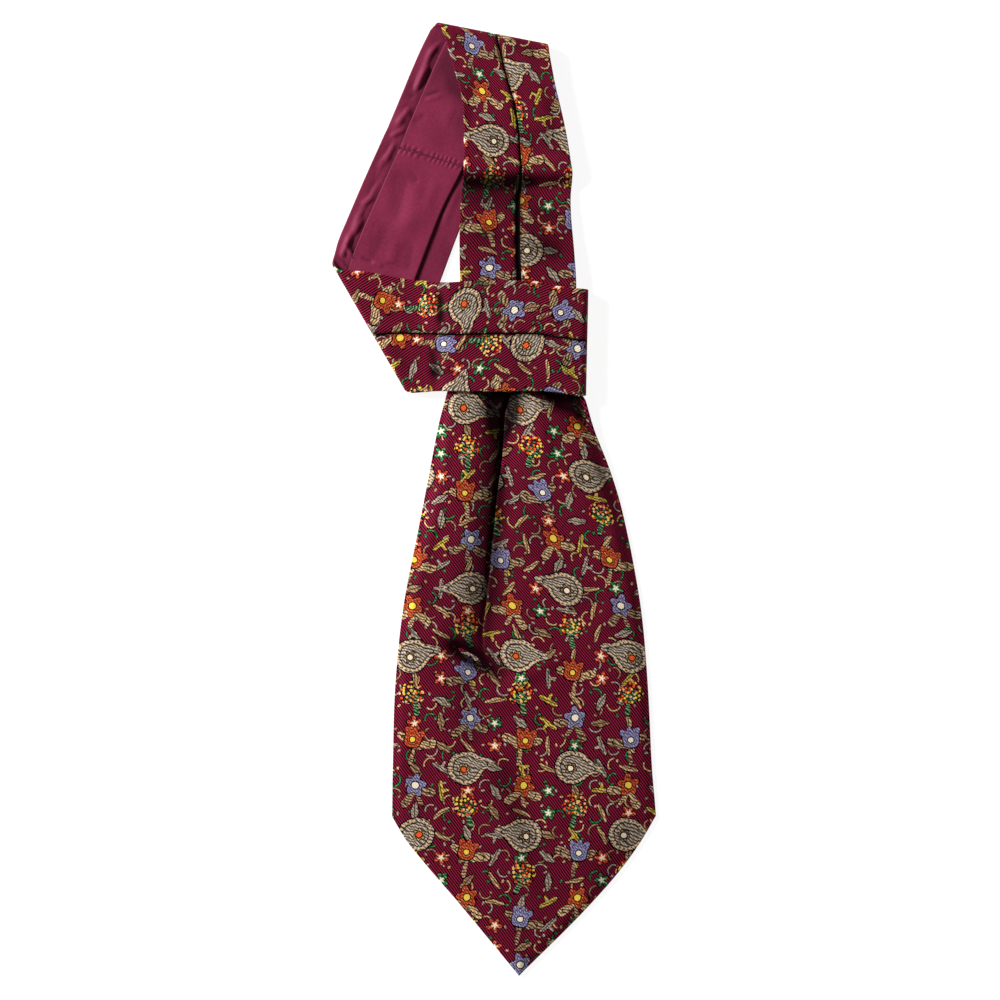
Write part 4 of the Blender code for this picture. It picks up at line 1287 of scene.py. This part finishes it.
def studio():
    """A pale lit floor that sweeps up all round, soft light from the loop's left, the camera straight above."""
    scene = bpy.context.scene
    scene.view_settings.view_transform = "Standard"
    turn = np.linspace(0, TURN, FLOOR_SIDES, endpoint=False)
    corners = []
    for lift in np.linspace(0, math.pi / 2, FLOOR_RINGS):
        radius = FLOOR_RADIUS + FLOOR_SWEEP * math.sin(lift)
        height = np.full(FLOOR_SIDES, FLOOR_SWEEP * (1 - math.cos(lift)))
        corners += np.stack([radius * np.cos(turn), radius * np.sin(turn), height], axis=-1).tolist()
    corner = np.arange(len(corners)).reshape(FLOOR_RINGS, FLOOR_SIDES)
    beside = np.roll(corner, -1, axis=1)
    quads = np.stack([corner[:-1], corner[1:], beside[1:], beside[:-1]], axis=-1).reshape(-1, 4)
    mesh = bpy.data.meshes.new("floor")
    mesh.from_pydata(corners, [], corner[:1].tolist() + quads.tolist())
    mesh.shade_smooth()
    paper = {"Base Color": FLOOR_COLOUR, "Roughness": FLOOR_ROUGHNESS}
    paper.update({"Emission Color": WHITE, "Emission Strength": FLOOR_GLOW})
    mesh.materials.append(principled("pale_floor", paper)[0])
    floor = linked("floor", mesh)
    floor.location.z = FLOOR_DROP

    scene.world = bpy.data.worlds.new("studio")
    scene.world.use_nodes = True
    background = scene.world.node_tree.nodes["Background"]
    background.inputs["Color"].default_value = WHITE
    background.inputs["Strength"].default_value = WORLD_LIGHT

    key = bpy.data.lights.new("key", "AREA")
    key.shape = "RECTANGLE"
    key.size, key.size_y = KEY_SIZE
    key.energy = KEY_POWER
    lamp = linked("key", key)
    lamp.location = KEY_PLACE
    lamp.rotation_euler = (-Vector(KEY_PLACE)).to_track_quat("-Z", "Y").to_euler()

    lens = bpy.data.cameras.new("camera")
    lens.lens = CAMERA_LENS
    lens.sensor_width = CAMERA_SENSOR
    scene.camera = linked("camera", lens)
    scene.camera.location = (*CAMERA_CENTRE, FRAME_WIDTH * CAMERA_LENS / CAMERA_SENSOR)


silk = silk_print()
satin = lining_satin("burgundy_satin_lining", "lining_deep", "lining", SATIN_SHADE)
# A near-black satin that stands in for the shade inside the pleat, where it shows in the slits
shade = lining_satin("pleat_inside_painted_shade", "ground", "lining_deep", SILK_SHADE)
thread = thread_finish()

strip, (neck_start, rear_start, cross_start, wrap_start) = chain(
    *(stations(rows, BAND_FINER) for rows in (NECK, REAR, CROSS, WRAP))
)
band = Band(strip)
top_fold, corner_fold, right_fold = (start - FOLD_LINES / 2 for start in (rear_start, cross_start, wrap_start))
tacked = rear_start + int(sum(REAR["steps"][:TACKED_ROW])) * BAND_FINER

studio()
for stretch, sides, first, last, creases, rests_on in (
    ("neck", ("left", "right"), neck_start, top_fold, NECK_CREASES, ["rear_right_panel"]),
    ("cross", ("upper", "lower"), corner_fold, right_fold, CROSS_CREASES, ["front_blade"]),
):
    for name, side in zip(sides, (-1, 1)):
        outer_panel(f"{stretch}_{name}_panel", side, first, last, creases)
        lining_panel(f"{stretch}_{name}_panel", side, first, last, creases, None)
for name, side in (("left", -1), ("right", 1)):
    outer_panel(f"rear_{name}_panel", side, top_fold, corner_fold, None)
    lining_panel(f"rear_{name}_panel", side, top_fold, corner_fold, SIDE_STRIP_CREASES, SEWN_SINK)
pleat_underlay("neck_underlay", neck_start, top_fold, NECK_CREASES, None, shade)
cross_end = wrap_start - FOLD_LINES
pleat_underlay("cross_underlay", cross_start, cross_end, CROSS_CREASES, None, shade)
surfaces = [
    pleat_underlay(f"rear_underlay_{name}", first, last, UNDERLAY_CREASES, SEWN_SINK, satin)
    for name, first, last in (("upper", top_fold, tacked), ("lower", tacked, cross_start - FOLD_LINES))
]
wrap()
front_blade()
under_blade()
tack_stitches(np.concatenate(surfaces))
